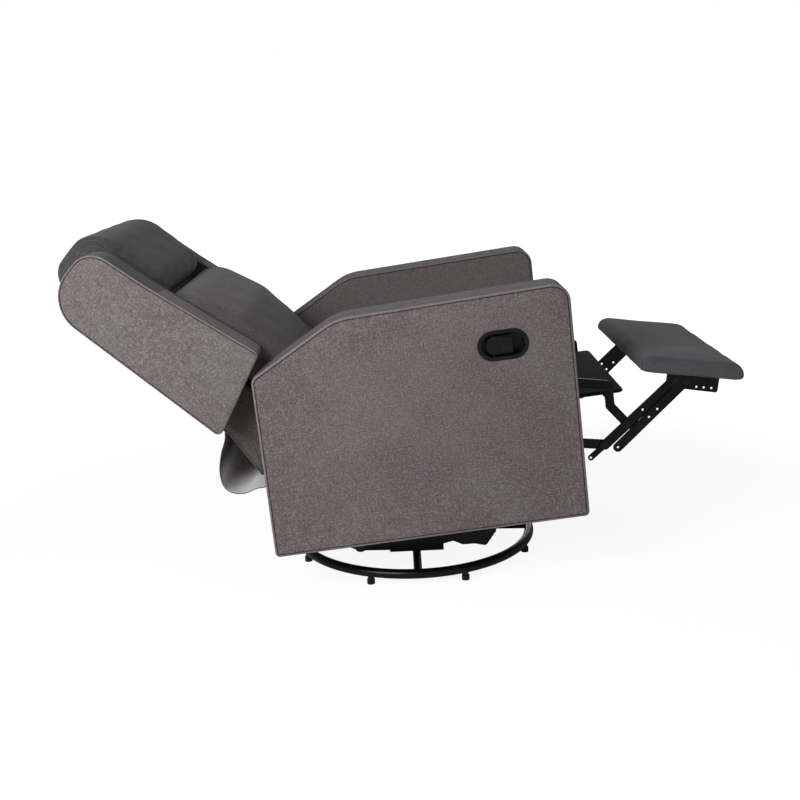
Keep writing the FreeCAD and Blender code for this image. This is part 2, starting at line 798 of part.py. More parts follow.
def arm_band():
    # the padded edge strip between the two panels, all the way round
    y0, y1 = -inner_face - panel_thickness, -arm_outer_face + panel_thickness
    outer = prism(arm_outline(), y0, y1)
    return outer.cut(prism(inset(arm_outline(), panel_thickness), y0 + 1, y1 - 1))


def arm_frame():
    # a timber loop with a middle post, inside the band
    y0, y1 = -inner_face - panel_thickness, -arm_outer_face + panel_thickness
    loop = prism(inset(arm_outline(), panel_thickness), y0, y1)
    hole = prism(inset(arm_outline(), panel_thickness + frame_beam), y0 + 1, y1 - 1)
    loop = loop.cut(hole)
    low, high = arm_bottom + panel_thickness + 2, arm_height - panel_thickness - 14
    post = box(60, 60 + frame_beam, y1, y0, low, high)
    return loop.fuse(post).removeSplitter()


# ---- release lever ----
def lever_cup():
    # an oval cup let into the outer panel, with a rim over the cloth
    rim = 6.0
    proud = 2.0
    outer = arm_outer_face
    shell = oval(cup_length - 2 * cup_wall, cup_height - 2 * cup_wall, -outer - proud, -outer + cup_depth)
    flange = oval(cup_length + rim, cup_height + rim, -outer - proud, -outer)
    hollow = oval(cup_length - 4 * cup_wall, cup_height - 4 * cup_wall, -outer - proud - 1,
                  -outer + cup_depth - cup_wall)
    return shell.fuse(flange).cut(hollow).removeSplitter()


lever_pivot = (lever_centre[0] - 20.0, -arm_outer_face + 10.0)


def lever_paddle():
    # a flat paddle hinged at its rear end on an upright pin, with a finger grip at the front
    half = cup_height / 2 - 2 * cup_wall - 1.5
    outer = arm_outer_face
    rear = lever_centre[0] - 34.0
    grip = lever_centre[0] + 20.0
    z = lever_centre[1]
    thick = 5.0
    plate = prism([(rear, z - half + 4, 16), (grip, z - half + 4, 4), (grip, z + half - 4, 4),
                   (rear, z + half - 4, 16)], -outer + 1, -outer + 1 + thick)
    finger = box(grip - 24, grip, -outer - 1.5, -outer + 1, z - half + 7, z + half - 7)
    finger = finger.makeFillet(2.0, [e for e in finger.Edges if max(v.Y for v in e.Vertexes) < -outer - 1.4])
    barrel = Part.makeCylinder(4.5, 2 * half - 10, Vector(lever_pivot[0], lever_pivot[1], z - half + 5))
    x, y = lever_pivot
    neck = box(x - 3, x + 3, -outer + 1 + thick, y, z - half + 8, z + half - 8)
    shape = plate.fuse(finger).fuse(barrel).fuse(neck)
    bore = Part.makeCylinder(2.0 + running_clearance, cup_height, Vector(x, y, z - cup_height / 2))
    return shape.cut(bore).removeSplitter()


def lever_pin():
    z = lever_centre[1]
    reach = cup_height / 2 - 2 * cup_wall
    return Part.makeCylinder(2.0, 2 * reach, Vector(lever_pivot[0], lever_pivot[1], z - reach))


# ---- back, drawn upright in its own frame ----
def wing_outline():
    top = wing_length
    high = wing_depth_high
    return [(wing_rear, wing_foot, 12), (wing_depth_low, wing_foot_front, 12), (high + 2, 300.0, 160),
            (high - 9, top, 51), (wing_rear, top, 80)]


def wing_panel():
    return prism(wing_outline(), -wing_outer, -wing_outer + panel_thickness)


def wing_pad():
    return prism(wing_outline(), -wing_outer + panel_thickness, -inner_face - 1)


def back_stile():
    # narrow below the arms' tops, where the hinge arm lies, and full width between the wings
    low, step, high = back_foot, stile_step, wing_length - 36.0
    front, rear = stile_front, stile_rear
    lower = box(rear, front, -back_arm_plane, -stile_face, low, step)
    upper = box(rear, front, -inner_face - 1, -stile_face, step, high)
    return lower.fuse(upper).removeSplitter()


def back_rails():
    rails = []
    for low in (back_foot, stile_step + 30.0, wing_length - 76.0):
        rails.append(box(20.0, 20.0 + rail_thickness, -stile_face, stile_face, low, low + 40.0))
    return Part.makeCompound(rails)


def back_arm():
    # the steel arm that swings the back: from its hinge to the foot of the stile and up it
    def down(point):
        lifted = minus(point, back_corner)
        return turned(lifted, -back_lean)
    hinge = down(back_pivot)
    top = stile_step - back_arm_half_width - 3.0
    path = [hinge, (46.0, -168.0), (40.0, -110.0), (40.0, top)]
    y0, y1 = -back_arm_plane, -back_arm_plane - back_arm_plate
    shape = bar(path, back_arm_half_width, y0, y1)
    return drilled(shape, (hinge,), pivot_radius + running_clearance, y0, y1)


def back_board():
    # the outer back between the wings
    half = inner_face - 1 + 0.5
    return box(0, stile_rear, -half, half, 6.0, wing_length - 24.0)


def back_foam():
    # the padded ground that the two front cushions lie on
    half = inner_face - 1 + 0.5
    rear = stile_front + soft_gap
    step = stile_step + 6.0
    upper = box(rear, back_pad_face, -half, half, step, wing_length - 12.0)
    lower = box(rear, back_pad_face, -stile_face, stile_face, back_foot, step)
    return upper.fuse(lower).removeSplitter()


def lower_back():
    # the padded foot of the back that goes down between the arms
    rear = -12.0
    seat = stile_rear - soft_gap
    low, under = back_foot - 20.0, back_foot - 2.0
    return prism([(rear, low, 14), (stile_front, low, 10), (stile_front, under, 4), (seat, under, 2),
                  (seat, 4.0, 2), (rear, 4.0, 8)], -back_arm_plane + 1, back_arm_plane - 1)


def crowned(section, half, front, drop):
    # a cushion with this side section, whose front falls back towards both ends
    outline = [(-60.0, -half, 0), (front - drop, -half, cushion_end), (front, -half / 3, 900),
               (front, half / 3, 900), (front - drop, half, cushion_end), (-60.0, half, 0)]
    body = prism(section, -half, half)
    return body.common(plan_prism(outline, -lumbar_drop - 10, wing_length + pillow_rise + 10))


def lumbar_cushion():
    face = back_pad_face + soft_gap
    front = back_pad_face + lumbar_depth
    top = cushion_split - split_gap
    section = [(face, 42.0 - lumbar_drop, 6), (front - 19, -lumbar_drop, 26), (front, 115.0, 90),
               (front - 39, top - 4, 76), (face, top, 6)]
    return crowned(section, inner_face - 3, front, 24.0)


def head_pillow():
    face = back_pad_face + soft_gap
    front = back_pad_face + pillow_depth
    low = cushion_split + split_gap
    top = wing_length + pillow_rise
    section = [(face, low, 6), (front, low, 36), (front - 25, top, 62), (26.0, top, 44),
               (-8.0, wing_length, 14), (-8.0, wing_length - 18, 4), (face, wing_length - 8, 4)]
    return crowned(section, inner_face - 3, front, 14.0)


def skirt():
    # a cloth flap that hangs from the foot of the back and folds in under the body
    half = inner_face - 6
    thick = 2.5
    drape = [(-4.3, -15.0), (-8.0, -36.0), (-21.0, -66.0), (-31.0, -104.0), (-29.0, -138.0), (-13.0, -156.0),
             (13.0, -161.0), (39.0, -154.0), (61.0, -153.0)]
    path = [plus(back_corner, step) for step in drape]
    left = []
    right = []
    count = len(path)
    for i in range(count):
        before, after = path[max(i - 1, 0)], path[min(i + 1, count - 1)]
        dx, dz = minus(after, before)
        size = math.hypot(dx, dz)
        nx, nz = -dz / size * thick / 2, dx / size * thick / 2
        left.append((path[i][0] + nx, path[i][1] + nz, 0))
        right.append((path[i][0] - nx, path[i][1] - nz, 0))
    return prism(left + right[::-1], -half, half)


# ---- the nodes ----
def save(name, shape):
    if shape.Volume < 0:
        shape = shape.reversed()
    shape.exportStep("parts/" + name + ".step")


os.makedirs("parts", exist_ok=True)

save("base_ring", torus_ring())
save("base_arms", Part.makeCompound([base_arm(90 * i) for i in range(4)]))
save("base_hub", base_hub())
save("base_feet", Part.makeCompound([base_foot(360.0 / foot_count * (i + 0.5)) for i in range(foot_count)]))
save("king_pin", king_pin())
save("thrust_bearing", thrust_bearing())

save("swivel_plate", swivel_plate())
save("glide_brackets", pair(glide_bracket()))
save("glide_upper_pins", glide_upper_pins())
save("glide_links_rear", pair(glide_link(rear_upper, rear_lower, False)))
save("glide_links_front", pair(glide_link(front_upper, front_lower, True)))
save("glide_lower_pins", glide_lower_pins())

save("glide_hangers", in_body(pair(glide_hanger())))
save("mount_angles", in_body(pair(mount_angle())))
save("body_rivets", in_body(body_rivets()))
save("cross_tubes", in_body(Part.makeCompound([cross_tube(rear_tube_corner, mech_plane),
                                               cross_tube(front_tube_corner, inner_face)])))
save("base_rail", in_body(base_rail()))
save("seat_side_rails", in_body(pair(seat_side_rail())))
save("seat_end_rails", in_body(Part.makeCompound([seat_end_rail(rail_rear),
                                                  seat_end_rail(rail_front - rail_thickness)])))
save("seat_straps", in_body(seat_straps()))
save("seat_cushion", in_body(seat_cushion()))
save("lever_cup", in_body(lever_cup()))
save("lever_pin", in_body(lever_pin()))
save("lever_paddle", in_body(lever_paddle()))

save("footrest_cranks", in_body(pair(footrest_crank())))
save("rear_links", in_body(pair(rear_link())))
save("long_links", in_body(pair(long_link())))
save("short_links", in_body(pair(short_link())))
save("footrest_brackets", in_footrest(pair(footrest_bracket())))
save("torque_tube", in_body(torque_tube()))
save("crank_rivets", in_body(crank_rivets()))
save("long_link_rivets", in_body(long_link_rivets()))
save("footrest_rivets", in_body(footrest_rivets()))
save("flap_board", in_body(flap_board()))
save("flap_brackets", in_body(pair(flap_bracket())))
save("footrest_deck", in_footrest(footrest_deck()))
save("footrest_cushion", in_footrest(footrest_cushion()))

save("back_rails", in_back(back_rails()))
save("back_arms", in_back(pair(back_arm())))
save("back_board", in_back(back_board()))
save("back_foam", in_back(back_foam()))
save("lower_back", in_back(lower_back()))
save("lumbar_cushion", in_back(lumbar_cushion()))
save("head_pillow", in_back(head_pillow()))
save("rear_skirt", in_body(skirt()))

for side_name in ("right", "left"):
    right = side_name == "right"
    sided_body = {"side_plate": side_plate(), "arm_outer_panel": arm_outer_panel(right),
                  "arm_inner_panel": arm_inner_panel(), "arm_band": arm_band(), "arm_frame": arm_frame()}
    sided_back = {"wing": wing_pad().fuse(wing_panel()).removeSplitter(), "back_stile": back_stile()}
    for part_name, shape in sided_body.items():
        save(part_name + "_" + side_name, in_body(shape if right else mirrored(shape)))
    for part_name, shape in sided_back.items():
        save(part_name + "_" + side_name, in_back(shape if right else mirrored(shape)))
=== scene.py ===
# Swivel glider recliner: padding, cloth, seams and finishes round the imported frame.
# Metres; +X is the chair's front, -Y the sitter's right, +Z up.
import json
import math
from functools import partial

import bmesh
import bpy
import numpy as np
from mathutils import Matrix, Vector


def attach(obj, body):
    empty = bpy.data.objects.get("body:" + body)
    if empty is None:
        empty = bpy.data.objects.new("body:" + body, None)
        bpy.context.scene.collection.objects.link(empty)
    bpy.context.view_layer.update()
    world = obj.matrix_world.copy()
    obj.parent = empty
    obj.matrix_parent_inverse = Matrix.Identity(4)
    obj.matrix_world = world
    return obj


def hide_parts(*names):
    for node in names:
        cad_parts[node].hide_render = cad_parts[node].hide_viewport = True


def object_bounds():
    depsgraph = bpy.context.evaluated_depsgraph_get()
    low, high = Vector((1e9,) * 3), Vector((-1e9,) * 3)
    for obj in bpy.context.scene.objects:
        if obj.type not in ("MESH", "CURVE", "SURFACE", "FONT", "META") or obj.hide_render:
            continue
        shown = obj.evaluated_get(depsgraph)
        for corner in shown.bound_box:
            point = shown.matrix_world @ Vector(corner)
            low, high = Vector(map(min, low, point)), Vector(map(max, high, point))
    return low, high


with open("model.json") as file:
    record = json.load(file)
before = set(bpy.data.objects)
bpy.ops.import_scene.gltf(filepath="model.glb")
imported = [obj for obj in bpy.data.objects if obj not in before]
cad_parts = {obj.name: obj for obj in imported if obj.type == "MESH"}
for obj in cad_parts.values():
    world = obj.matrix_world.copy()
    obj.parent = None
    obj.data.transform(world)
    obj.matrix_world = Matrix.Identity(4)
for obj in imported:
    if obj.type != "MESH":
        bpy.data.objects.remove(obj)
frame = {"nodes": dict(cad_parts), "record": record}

cadLow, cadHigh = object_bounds()
nodes = frame["nodes"]
scene = bpy.context.scene
print("frame loaded:", len(nodes), "nodes")

# leans of the three level frames, in degrees; a positive lean raises the front
lean = {"body": 5.5, "back": 48.7, "footrest": -7.6}


# ---- arrays and meshes ----
def turned(points, degrees):
    # turns points about the Y axis, so that a positive angle raises +X
    a = math.radians(degrees)
    x, z = points[..., 0], points[..., 2]
    across, up = x * math.cos(a) - z * math.sin(a), x * math.sin(a) + z * math.cos(a)
    return np.stack([across, points[..., 1], up], -1)


def vertexArray(mesh, field="co"):
    flat = np.zeros(len(mesh.vertices) * 3, np.float32)
    mesh.vertices.foreach_get(field, flat)
    return flat.reshape(-1, 3).astype(float)


def nodePoints(node, part):
    # a CAD node's vertices in the level frame of its part
    return turned(vertexArray(nodes[node].data), -lean[part])


def localBox(node, part):
    points = nodePoints(node, part)
    return points.min(0), points.max(0)


def lengthsAlong(line):
    return np.concatenate([[0], np.cumsum(np.linalg.norm(np.diff(line, axis=0), axis=1))])


def sampled(values, along, at):
    # rows of values read at places along their line
    return np.stack([np.interp(at, along, column) for column in values.T], -1)


def resampled(loop, count):
    # the same closed line through evenly spaced points
    closed = np.vstack([loop, loop[:1]])
    along = lengthsAlong(closed)
    return sampled(closed, along, np.linspace(0, along[-1], count, endpoint=False))


def outlineOf(node, part, count):
    # a flat-sided node's outline, anticlockwise as (x, z): its points sorted by angle about the middle
    flat = np.unique(np.round(nodePoints(node, part)[:, [0, 2]], 5), axis=0)
    away = flat - (flat.min(0) + flat.max(0)) / 2
    return resampled(flat[np.argsort(np.arctan2(away[:, 1], away[:, 0]))], count)


def unit(rows):
    return rows / np.linalg.norm(rows, axis=1, keepdims=True)


def outwardOf(loop):
    # unit normals of an anticlockwise closed line
    run = np.roll(loop, -1, 0) - np.roll(loop, 1, 0)
    return unit(np.stack([run[:, 1], -run[:, 0]], -1))


def newObject(name, data):
    item = bpy.data.objects.new(name, data)
    scene.collection.objects.link(item)
    return item


def meshObject(name, points, faces, smooth=True):
    mesh = bpy.data.meshes.new(name)
    mesh.from_pydata(points.reshape(-1, 3).tolist(), [], [list(face) for face in faces])
    mesh.polygons.foreach_set("use_smooth", np.full(len(mesh.polygons), smooth))
    return newObject(name, mesh)


def setFloat(piece, name, values):
    layer = piece.data.attributes.get(name) or piece.data.attributes.new(name, "FLOAT", "POINT")
    layer.data.foreach_set("value", np.asarray(values, np.float32).ravel())


def tidied(piece, merge=2e-6, capSides=0):
    # doubles merged, open ends of so many sides capped, and faces turned outward
    work = bmesh.new()
    work.from_mesh(piece.data)
    if merge:
        bmesh.ops.remove_doubles(work, verts=work.verts, dist=merge)
    if capSides:
        openEdges = [edge for edge in work.edges if edge.is_boundary]
        bmesh.ops.holes_fill(work, edges=openEdges, sides=capSides)
    bmesh.ops.recalc_face_normals(work, faces=work.faces)
    work.to_mesh(piece.data)
    work.free()
    return piece


def gridFaces(rows, columns, wrapRows=False):
    # quads of a grid whose columns join round, and whose rows do too where they wrap
    i = np.arange(rows if wrapRows else rows - 1)[:, None]
    j = np.arange(columns)[None, :]
    a, b = i * columns + j, i * columns + (j + 1) % columns
    c, d = (i + 1) % rows * columns + (j + 1) % columns, (i + 1) % rows * columns + j
    return np.stack([a, b, c, d], -1).reshape(-1, 4)


def ringPiece(name, rings, wrap=False, **marks):
    # a closed surface through a stack of closed rings; flat caps close the ends unless the stack wraps
    rows, columns = rings.shape[:2]
    faces = gridFaces(rows, columns, wrap).tolist()
    if not wrap:
        faces += [list(range(columns)), list(range((rows - 1) * columns, rows * columns))]
    piece = meshObject(name, rings, faces)
    for label, values in marks.items():
        setFloat(piece, label, values)
    return tidied(piece)


def repeatedFaces(faces, count, size):
    # the same faces for each of several like pieces of so many points
    return (faces[None] + (np.arange(count) * size)[:, None, None]).reshape(-1, 4)


def spaced(flat, y, part):
    # (x, z) rings at given y, leaned as their part leans
    return turned(np.stack(np.broadcast_arrays(flat[..., 0], y, flat[..., 1]), -1), lean[part])


def setPieceArray(piece, points):
    piece.data.vertices.foreach_set("co", points.astype(np.float32).ravel())
    piece.data.update()


def applied(piece):
    # the piece with its modifiers made final
    graph = bpy.context.evaluated_depsgraph_get()
    final = bpy.data.meshes.new_from_object(piece.evaluated_get(graph))
    piece.modifiers.clear()
    piece.data = final
    final.polygons.foreach_set("use_smooth", np.full(len(final.polygons), True))
    return piece


# ---- shader helpers ----
def srgb(r, g, b):
    # a colour named in 0-255 display steps, as linear values
    levels = np.array([r, g, b]) / 255
    linear = np.where(levels <= 0.04045, levels / 12.92, ((levels + 0.055) / 1.055) ** 2.4)
    return (*linear.tolist(), 1.0)


def shaderNode(tree, kind, **settings):
    node = tree.nodes.new("ShaderNode" + kind)
    for key, value in settings.items():
        setattr(node, key, value)
    return node


def feed(tree, target, source):
    # links a socket, or sets a constant on it
    if isinstance(source, bpy.types.NodeSocket):
        tree.links.new(source, target)
    else:
        target.default_value = source


def preset(node, values):
    # constants on a node's inputs
    for key, value in values.items():
        node.inputs[key].default_value = value
    return node


def mathNode(tree, operation, a, b=None, clamp=False):
    node = shaderNode(tree, "Math", operation=operation, use_clamp=clamp)
    feed(tree, node.inputs[0], a)
    if b is not None:
        feed(tree, node.inputs[1], b)
    return node.outputs[0]


def sumsOf(tree):
    # short names for the commonest sums of one node tree
    return [partial(mathNode, tree, kind) for kind in ("ADD", "SUBTRACT", "MULTIPLY", "MAXIMUM")]


def mixColour(tree, share, a, b):
    node = shaderNode(tree, "Mix", data_type="RGBA", blend_type="MIX")
    feed(tree, node.inputs[0], share)
    feed(tree, node.inputs[6], a)
    feed(tree, node.inputs[7], b)
    return node.outputs[2]


def noiseNode(tree, vector, scale, detail=2.0, roughness=0.5, stretch=None):
    if stretch is not None:
        mapping = preset(shaderNode(tree, "Mapping"), {"Scale": stretch})
        feed(tree, mapping.inputs["Vector"], vector)
        vector = mapping.outputs[0]
    node = preset(shaderNode(tree, "TexNoise"), {"Detail": detail, "Roughness": roughness})
    feed(tree, node.inputs["Vector"], vector)
    feed(tree, node.inputs["Scale"], scale)
    return node.outputs[0]


def shaderGroup(name, colours, values):
    # a group that takes a Vector, some colours and some values, and gives Color, Height and Roughness
    inputs = [("Vector", "Vector", None)] + [(label, "Color", None) for label in colours]
    inputs += [(label, "Float", value) for label, value in values.items()]
    group = bpy.data.node_groups.new(name, "ShaderNodeTree")
    for label, kind, default in inputs:
        socket = group.interface.new_socket(label, in_out="INPUT", socket_type="NodeSocket" + kind)
        if default is not None:
            socket.default_value = default
    for label, kind in (("Color", "Color"), ("Height", "Float"), ("Roughness", "Float")):
        group.interface.new_socket(label, in_out="OUTPUT", socket_type="NodeSocket" + kind)
    return group, group.nodes.new("NodeGroupInput").outputs, group.nodes.new("NodeGroupOutput").inputs


def makeWeaveGroup():
    # heather = contrast * (4 * (mean of three drawn-out noises - 0.5) + 3.6 * (fleck noise - 0.5));
    # colour = base mixed to mottle by a slow noise, to light by heather > 0 and to dark by heather < 0,
    # then to light by the rim mark as a painted highlight and to near black as painted shade by the mark
    # of grooves, boxing edges and the hanging lining; height = heather + 0.22 * crossed sines of the
    # threads
    gain = {"streaks": 4.0, "flecks": 3.6, "patches": 5.0, "threads": 0.22, "rough": 0.05}
    # shares of the rim's painted highlight and of the painted shade, and the near-black colour of the
    # painted shade
    shares = {"rim": 0.45, "seam": 0.85}
    patchScale, matt, paintedShadeColour = 5.5, 0.84, (0.006, 0.005, 0.005, 1)
    tree, inp, out = shaderGroup(
        "clothWeave", ("Base", "Light", "Dark", "Mottle"),
        {"Threads": 700.0, "Slubs": 300.0, "Flecks": 260.0, "Contrast": 0.6, "Mottling": 0.5,
         "Seam": 0.0, "Rim": 0.0})
    plus, less, times, most = sumsOf(tree)
    slubs = [noiseNode(tree, inp["Vector"], inp["Slubs"], 3.0, 0.65, stretch)
             for stretch in ((0.22, 1, 1), (1, 0.22, 1), (1, 1, 0.22))]
    total = plus(plus(slubs[0], slubs[1]), slubs[2])
    streaks = times(less(times(total, 0.3333), 0.5), gain["streaks"])
    fleck = noiseNode(tree, inp["Vector"], inp["Flecks"], 2.0, 0.7)
    centred = plus(streaks, times(less(fleck, 0.5), gain["flecks"]))
    heather = times(centred, inp["Contrast"])
    patch = noiseNode(tree, inp["Vector"], patchScale, 4.0, 0.6)
    patches = plus(times(less(patch, 0.5), gain["patches"]), 0.5, clamp=True)
    colour = mixColour(tree, times(patches, inp["Mottling"]), inp["Base"], inp["Mottle"])
    up, down = most(heather, 0.0, clamp=True), most(times(heather, -1.0), 0.0, clamp=True)
    colour = mixColour(tree, down, mixColour(tree, up, colour, inp["Light"]), inp["Dark"])
    # painted highlight: the rolled rim is mixed towards the light fleck colour
    colour = mixColour(tree, times(inp["Rim"], shares["rim"]), colour, inp["Light"])
    # painted shade: grooves, boxing edges and the hanging lining are mixed towards near black
    colour = mixColour(tree, times(inp["Seam"], shares["seam"]), colour, paintedShadeColour)
    apart = shaderNode(tree, "SeparateXYZ")
    feed(tree, apart.inputs[0], inp["Vector"])
    turn = times(inp["Threads"], 2 * math.pi)
    sx, sy, sz = (mathNode(tree, "SINE", times(apart.outputs[i], turn)) for i in range(3))
    weave = plus(times(sx, sz), plus(times(sx, sy), times(sy, sz)))
    feed(tree, out["Color"], colour)
    feed(tree, out["Height"], plus(times(weave, gain["threads"]), heather))
    feed(tree, out["Roughness"], plus(matt, times(centred, gain["rough"]), clamp=True))
    return tree


def makeCoatGroup():
    # powder coat or moulded skin: colour = base mixed to rubbed where a cloud noise passes 0.52;
    # height = fine noise + 0.3 * cloud; roughness = gloss + 0.35 * (cloud - 0.5)
    cloudScale, rubbedFrom, rubbedGain, cloudHeight, cloudRough = 18.0, 0.52, 5.0, 0.3, 0.35
    tree, inp, out = shaderGroup("coatedSkin", ("Base", "Rubbed"),
                                 {"Grain": 900.0, "Rubbing": 0.3, "Gloss": 0.4})
    plus, less, times, _ = sumsOf(tree)
    fine = noiseNode(tree, inp["Vector"], inp["Grain"], 2.0, 0.6)
    cloud = noiseNode(tree, inp["Vector"], cloudScale, 4.0, 0.6)
    rubbed = times(times(less(cloud, rubbedFrom), rubbedGain, clamp=True), inp["Rubbing"])
    feed(tree, out["Color"], mixColour(tree, rubbed, inp["Base"], inp["Rubbed"]))
    feed(tree, out["Height"], plus(fine, times(cloud, cloudHeight)))
    clouded = times(less(cloud, 0.5), cloudRough)
    feed(tree, out["Roughness"], plus(inp["Gloss"], clouded, clamp=True))
    return tree


def makeGrainGroup():
    # sawn timber: late wood = 3 * (ring noise + half a warp noise - 0.55), with darker pores in the height
    warpShare, lateFrom, lateGain, poreRough, matt = 0.5, 0.55, 3.0, 0.2, 0.62
    tree, inp, out = shaderGroup("sawnGrain", ("Base", "Late"), {"Rings": 60.0})
    plus, less, times, _ = sumsOf(tree)
    warp = noiseNode(tree, inp["Vector"], 6.0, 3.0, 0.6, (1, 0.15, 0.4))
    rings = noiseNode(tree, inp["Vector"], inp["Rings"], 4.0, 0.6, (1, 0.06, 0.5))
    pores = noiseNode(tree, inp["Vector"], 500.0, 2.0, 0.5, (1, 0.05, 1))
    late = times(less(plus(rings, times(warp, warpShare)), lateFrom), lateGain, clamp=True)
    feed(tree, out["Color"], mixColour(tree, late, inp["Base"], inp["Late"]))
    feed(tree, out["Height"], plus(pores, late))
    feed(tree, out["Roughness"], plus(matt, times(pores, poreRough)))
    return tree


clothWeave = makeWeaveGroup()
coatedSkin = makeCoatGroup()
sawnGrain = makeGrainGroup()


def finishMaterial(name, group, values, part="body", bump=0.4, depth=0.0006, fixed=None, seam=False):
    # a Principled surface fed by one of the groups, its pattern lined up with a part's lean
    material = bpy.data.materials.new(name)
    material.use_nodes = True
    tree = material.node_tree
    shader = tree.nodes["Principled BSDF"]
    mapping = preset(shaderNode(tree, "Mapping"), {"Rotation": (0, math.radians(lean[part]), 0)})
    feed(tree, mapping.inputs["Vector"], shaderNode(tree, "TexCoord").outputs["Object"])
    effect = preset(shaderNode(tree, "Group", node_tree=group), values)
    feed(tree, effect.inputs["Vector"], mapping.outputs[0])
    # the cloth reads its painted shade and painted highlight marks from the mesh
    if seam:
        for label in ("Seam", "Rim"):
            line = shaderNode(tree, "Attribute", attribute_name=label.lower())
            feed(tree, effect.inputs[label], line.outputs["Fac"])
    relief = preset(shaderNode(tree, "Bump"), {"Strength": bump, "Distance": depth})
    feed(tree, relief.inputs["Height"], effect.outputs["Height"])
    feed(tree, shader.inputs["Base Color"], effect.outputs["Color"])
    feed(tree, shader.inputs["Roughness"], effect.outputs["Roughness"])
    feed(tree, shader.inputs["Normal"], relief.outputs[0])
    preset(shader, fixed or {})
    return material


def clothMaterial(name, part, tone, contrast=0.6, slubs=260.0, threads=700.0, sheen=0.15):
    base, light, dark, mottle = (srgb(*steps) for steps in tones[tone])
    return finishMaterial(
        name, clothWeave,
        {"Base": base, "Light": light, "Dark": dark, "Mottle": mottle, "Contrast": contrast,
         "Mottling": 0.6, "Slubs": slubs, "Flecks": 260.0, "Threads": threads},
        part, bump=0.5, seam=True,
        fixed={"Sheen Weight": sheen, "Sheen Roughness": 0.5, "Specular IOR Level": 0.2})


def coatMaterial(name, base, rubbed, gloss, grain=900.0, **relief):
    # a coat with its base and rubbed colours in display steps
    values = {"Base": srgb(*base), "Rubbed": srgb(*rubbed), "Gloss": gloss, "Grain": grain}
    return finishMaterial(name, coatedSkin, values, **relief)


# base, light fleck, dark fleck and slow mottle of each cloth, in display steps; inner, pillow, lumbar,
# boxing, lowerSide and rest are darker copies of the one side cloth, with painted shade for faces that look
# up or away from the lights or lie in shade
tones = {
    "wing": ((112, 105, 104), (158, 151, 150), (72, 64, 65), (100, 86, 90)),
    "arm": ((109, 100, 100), (153, 144, 144), (70, 62, 63), (97, 83, 87)),
    "inner": ((104, 97, 97), (138, 130, 130), (72, 67, 67), (102, 92, 95)),
    "pillow": ((72, 71, 71), (100, 98, 98), (46, 45, 45), (67, 65, 66)),
    "lumbar": ((96, 92, 93), (126, 120, 121), (66, 62, 63), (85, 80, 82)),
    "boxing": ((80, 73, 74), (112, 105, 106), (52, 47, 48), (74, 65, 69)),
    "lowerSide": ((86, 79, 77), (120, 113, 111), (56, 50, 49), (78, 69, 70)),
    "rest": ((84, 82, 86), (108, 105, 109), (60, 58, 62), (78, 75, 80)),
    "flap": ((18, 17, 18), (26, 25, 26), (11, 10, 10), (16, 15, 16)),
    "lining": ((246, 243, 243), (252, 250, 250), (226, 222, 223), (238, 234, 235)),
    "webbing": ((70, 66, 60), (96, 92, 84), (48, 44, 40), (62, 58, 54)),
}

materials = {
    "side": clothMaterial("sideCloth", "body", "arm"),
    "wing": clothMaterial("wingCloth", "back", "wing"),
    # painted shade: inner, boxing, pillow, lumbar, lowerSide and rest are darker copies of the side cloth
    "inner": clothMaterial("innerClothPaintedShade", "body", "inner", contrast=0.5),
    "boxing": clothMaterial("boxingClothPaintedShade", "body", "boxing", contrast=0.8, slubs=200.0),
    "pillow": clothMaterial("pillowClothPaintedShade", "back", "pillow", contrast=0.7),
    "lumbar": clothMaterial("lumbarClothPaintedShade", "back", "lumbar"),
    "lowerSide": clothMaterial("lowerSideClothPaintedShade", "back", "lowerSide", contrast=0.45),
    "rest": clothMaterial("footrestClothPaintedShade", "footrest", "rest", contrast=0.45),
    "flap": clothMaterial("flapCloth", "body", "flap", contrast=0.4, sheen=0.05),
    "lining": clothMaterial("liningCloth", "body", "lining", contrast=0.25, sheen=0.0),
    "webbing": clothMaterial("strapWebbing", "body", "webbing", threads=400.0),
    "thread": coatMaterial("seamThread", (22, 20, 20), (40, 37, 36), 0.7, 3000.0),
    "steel": coatMaterial("blackSteel", (8, 8, 9), (18, 18, 19), 0.30,
                          bump=0.12, depth=0.0003, fixed={"Specular IOR Level": 0.24}),
    "bright": coatMaterial("pinSteel", (44, 44, 46), (70, 70, 72), 0.38, 1500.0,
                           bump=0.15, depth=0.0002, fixed={"Metallic": 0.9}),
    "plastic": coatMaterial("blackPlastic", (15, 16, 16), (24, 26, 25), 0.30, 1400.0,
                            bump=0.15, depth=0.0002, fixed={"Specular IOR Level": 0.35}),
    "timber": finishMaterial("frameTimber", sawnGrain,
                             {"Base": srgb(196, 166, 124), "Late": srgb(158, 122, 80)}),
}
# nodes of the dark_cloth slot take the inner cloth's painted shade
slotFinish = {"black_steel": "steel", "bright_steel": "bright", "black_plastic": "plastic",
              "timber": "timber", "side_cloth": "side", "dark_cloth": "inner"}
for row in frame["record"]["subparts"]:
    mesh = nodes[row["node"]].data
    mesh.materials.clear()
    mesh.materials.append(materials[slotFinish[row["material_slot"]]])
print("finishes made:", len(materials))


def dressed(piece, finish, body, slot, *stoodFor):
    # gives a piece its finish and body, and hides the nodes that it stands for
    piece.data.materials.clear()
    piece.data.materials.append(materials[finish])
    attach(piece, body)
    if stoodFor:
        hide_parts(*stoodFor)
    return piece


def secondFinish(piece, finish, chosen):
    # another finish on the chosen ones of a piece's first faces
    piece.data.materials.append(materials[finish])
    index = np.zeros(len(piece.data.polygons), np.int32)
    index[:len(chosen)] = chosen
    piece.data.polygons.foreach_set("material_index", index)


# ---- camera ----
cameraSetup = {"lens": 50.0, "sensor": 36.0, "place": (-0.0238, -2.5991, 1.0059),
               "pitch": 13.97, "roll": -2.527}


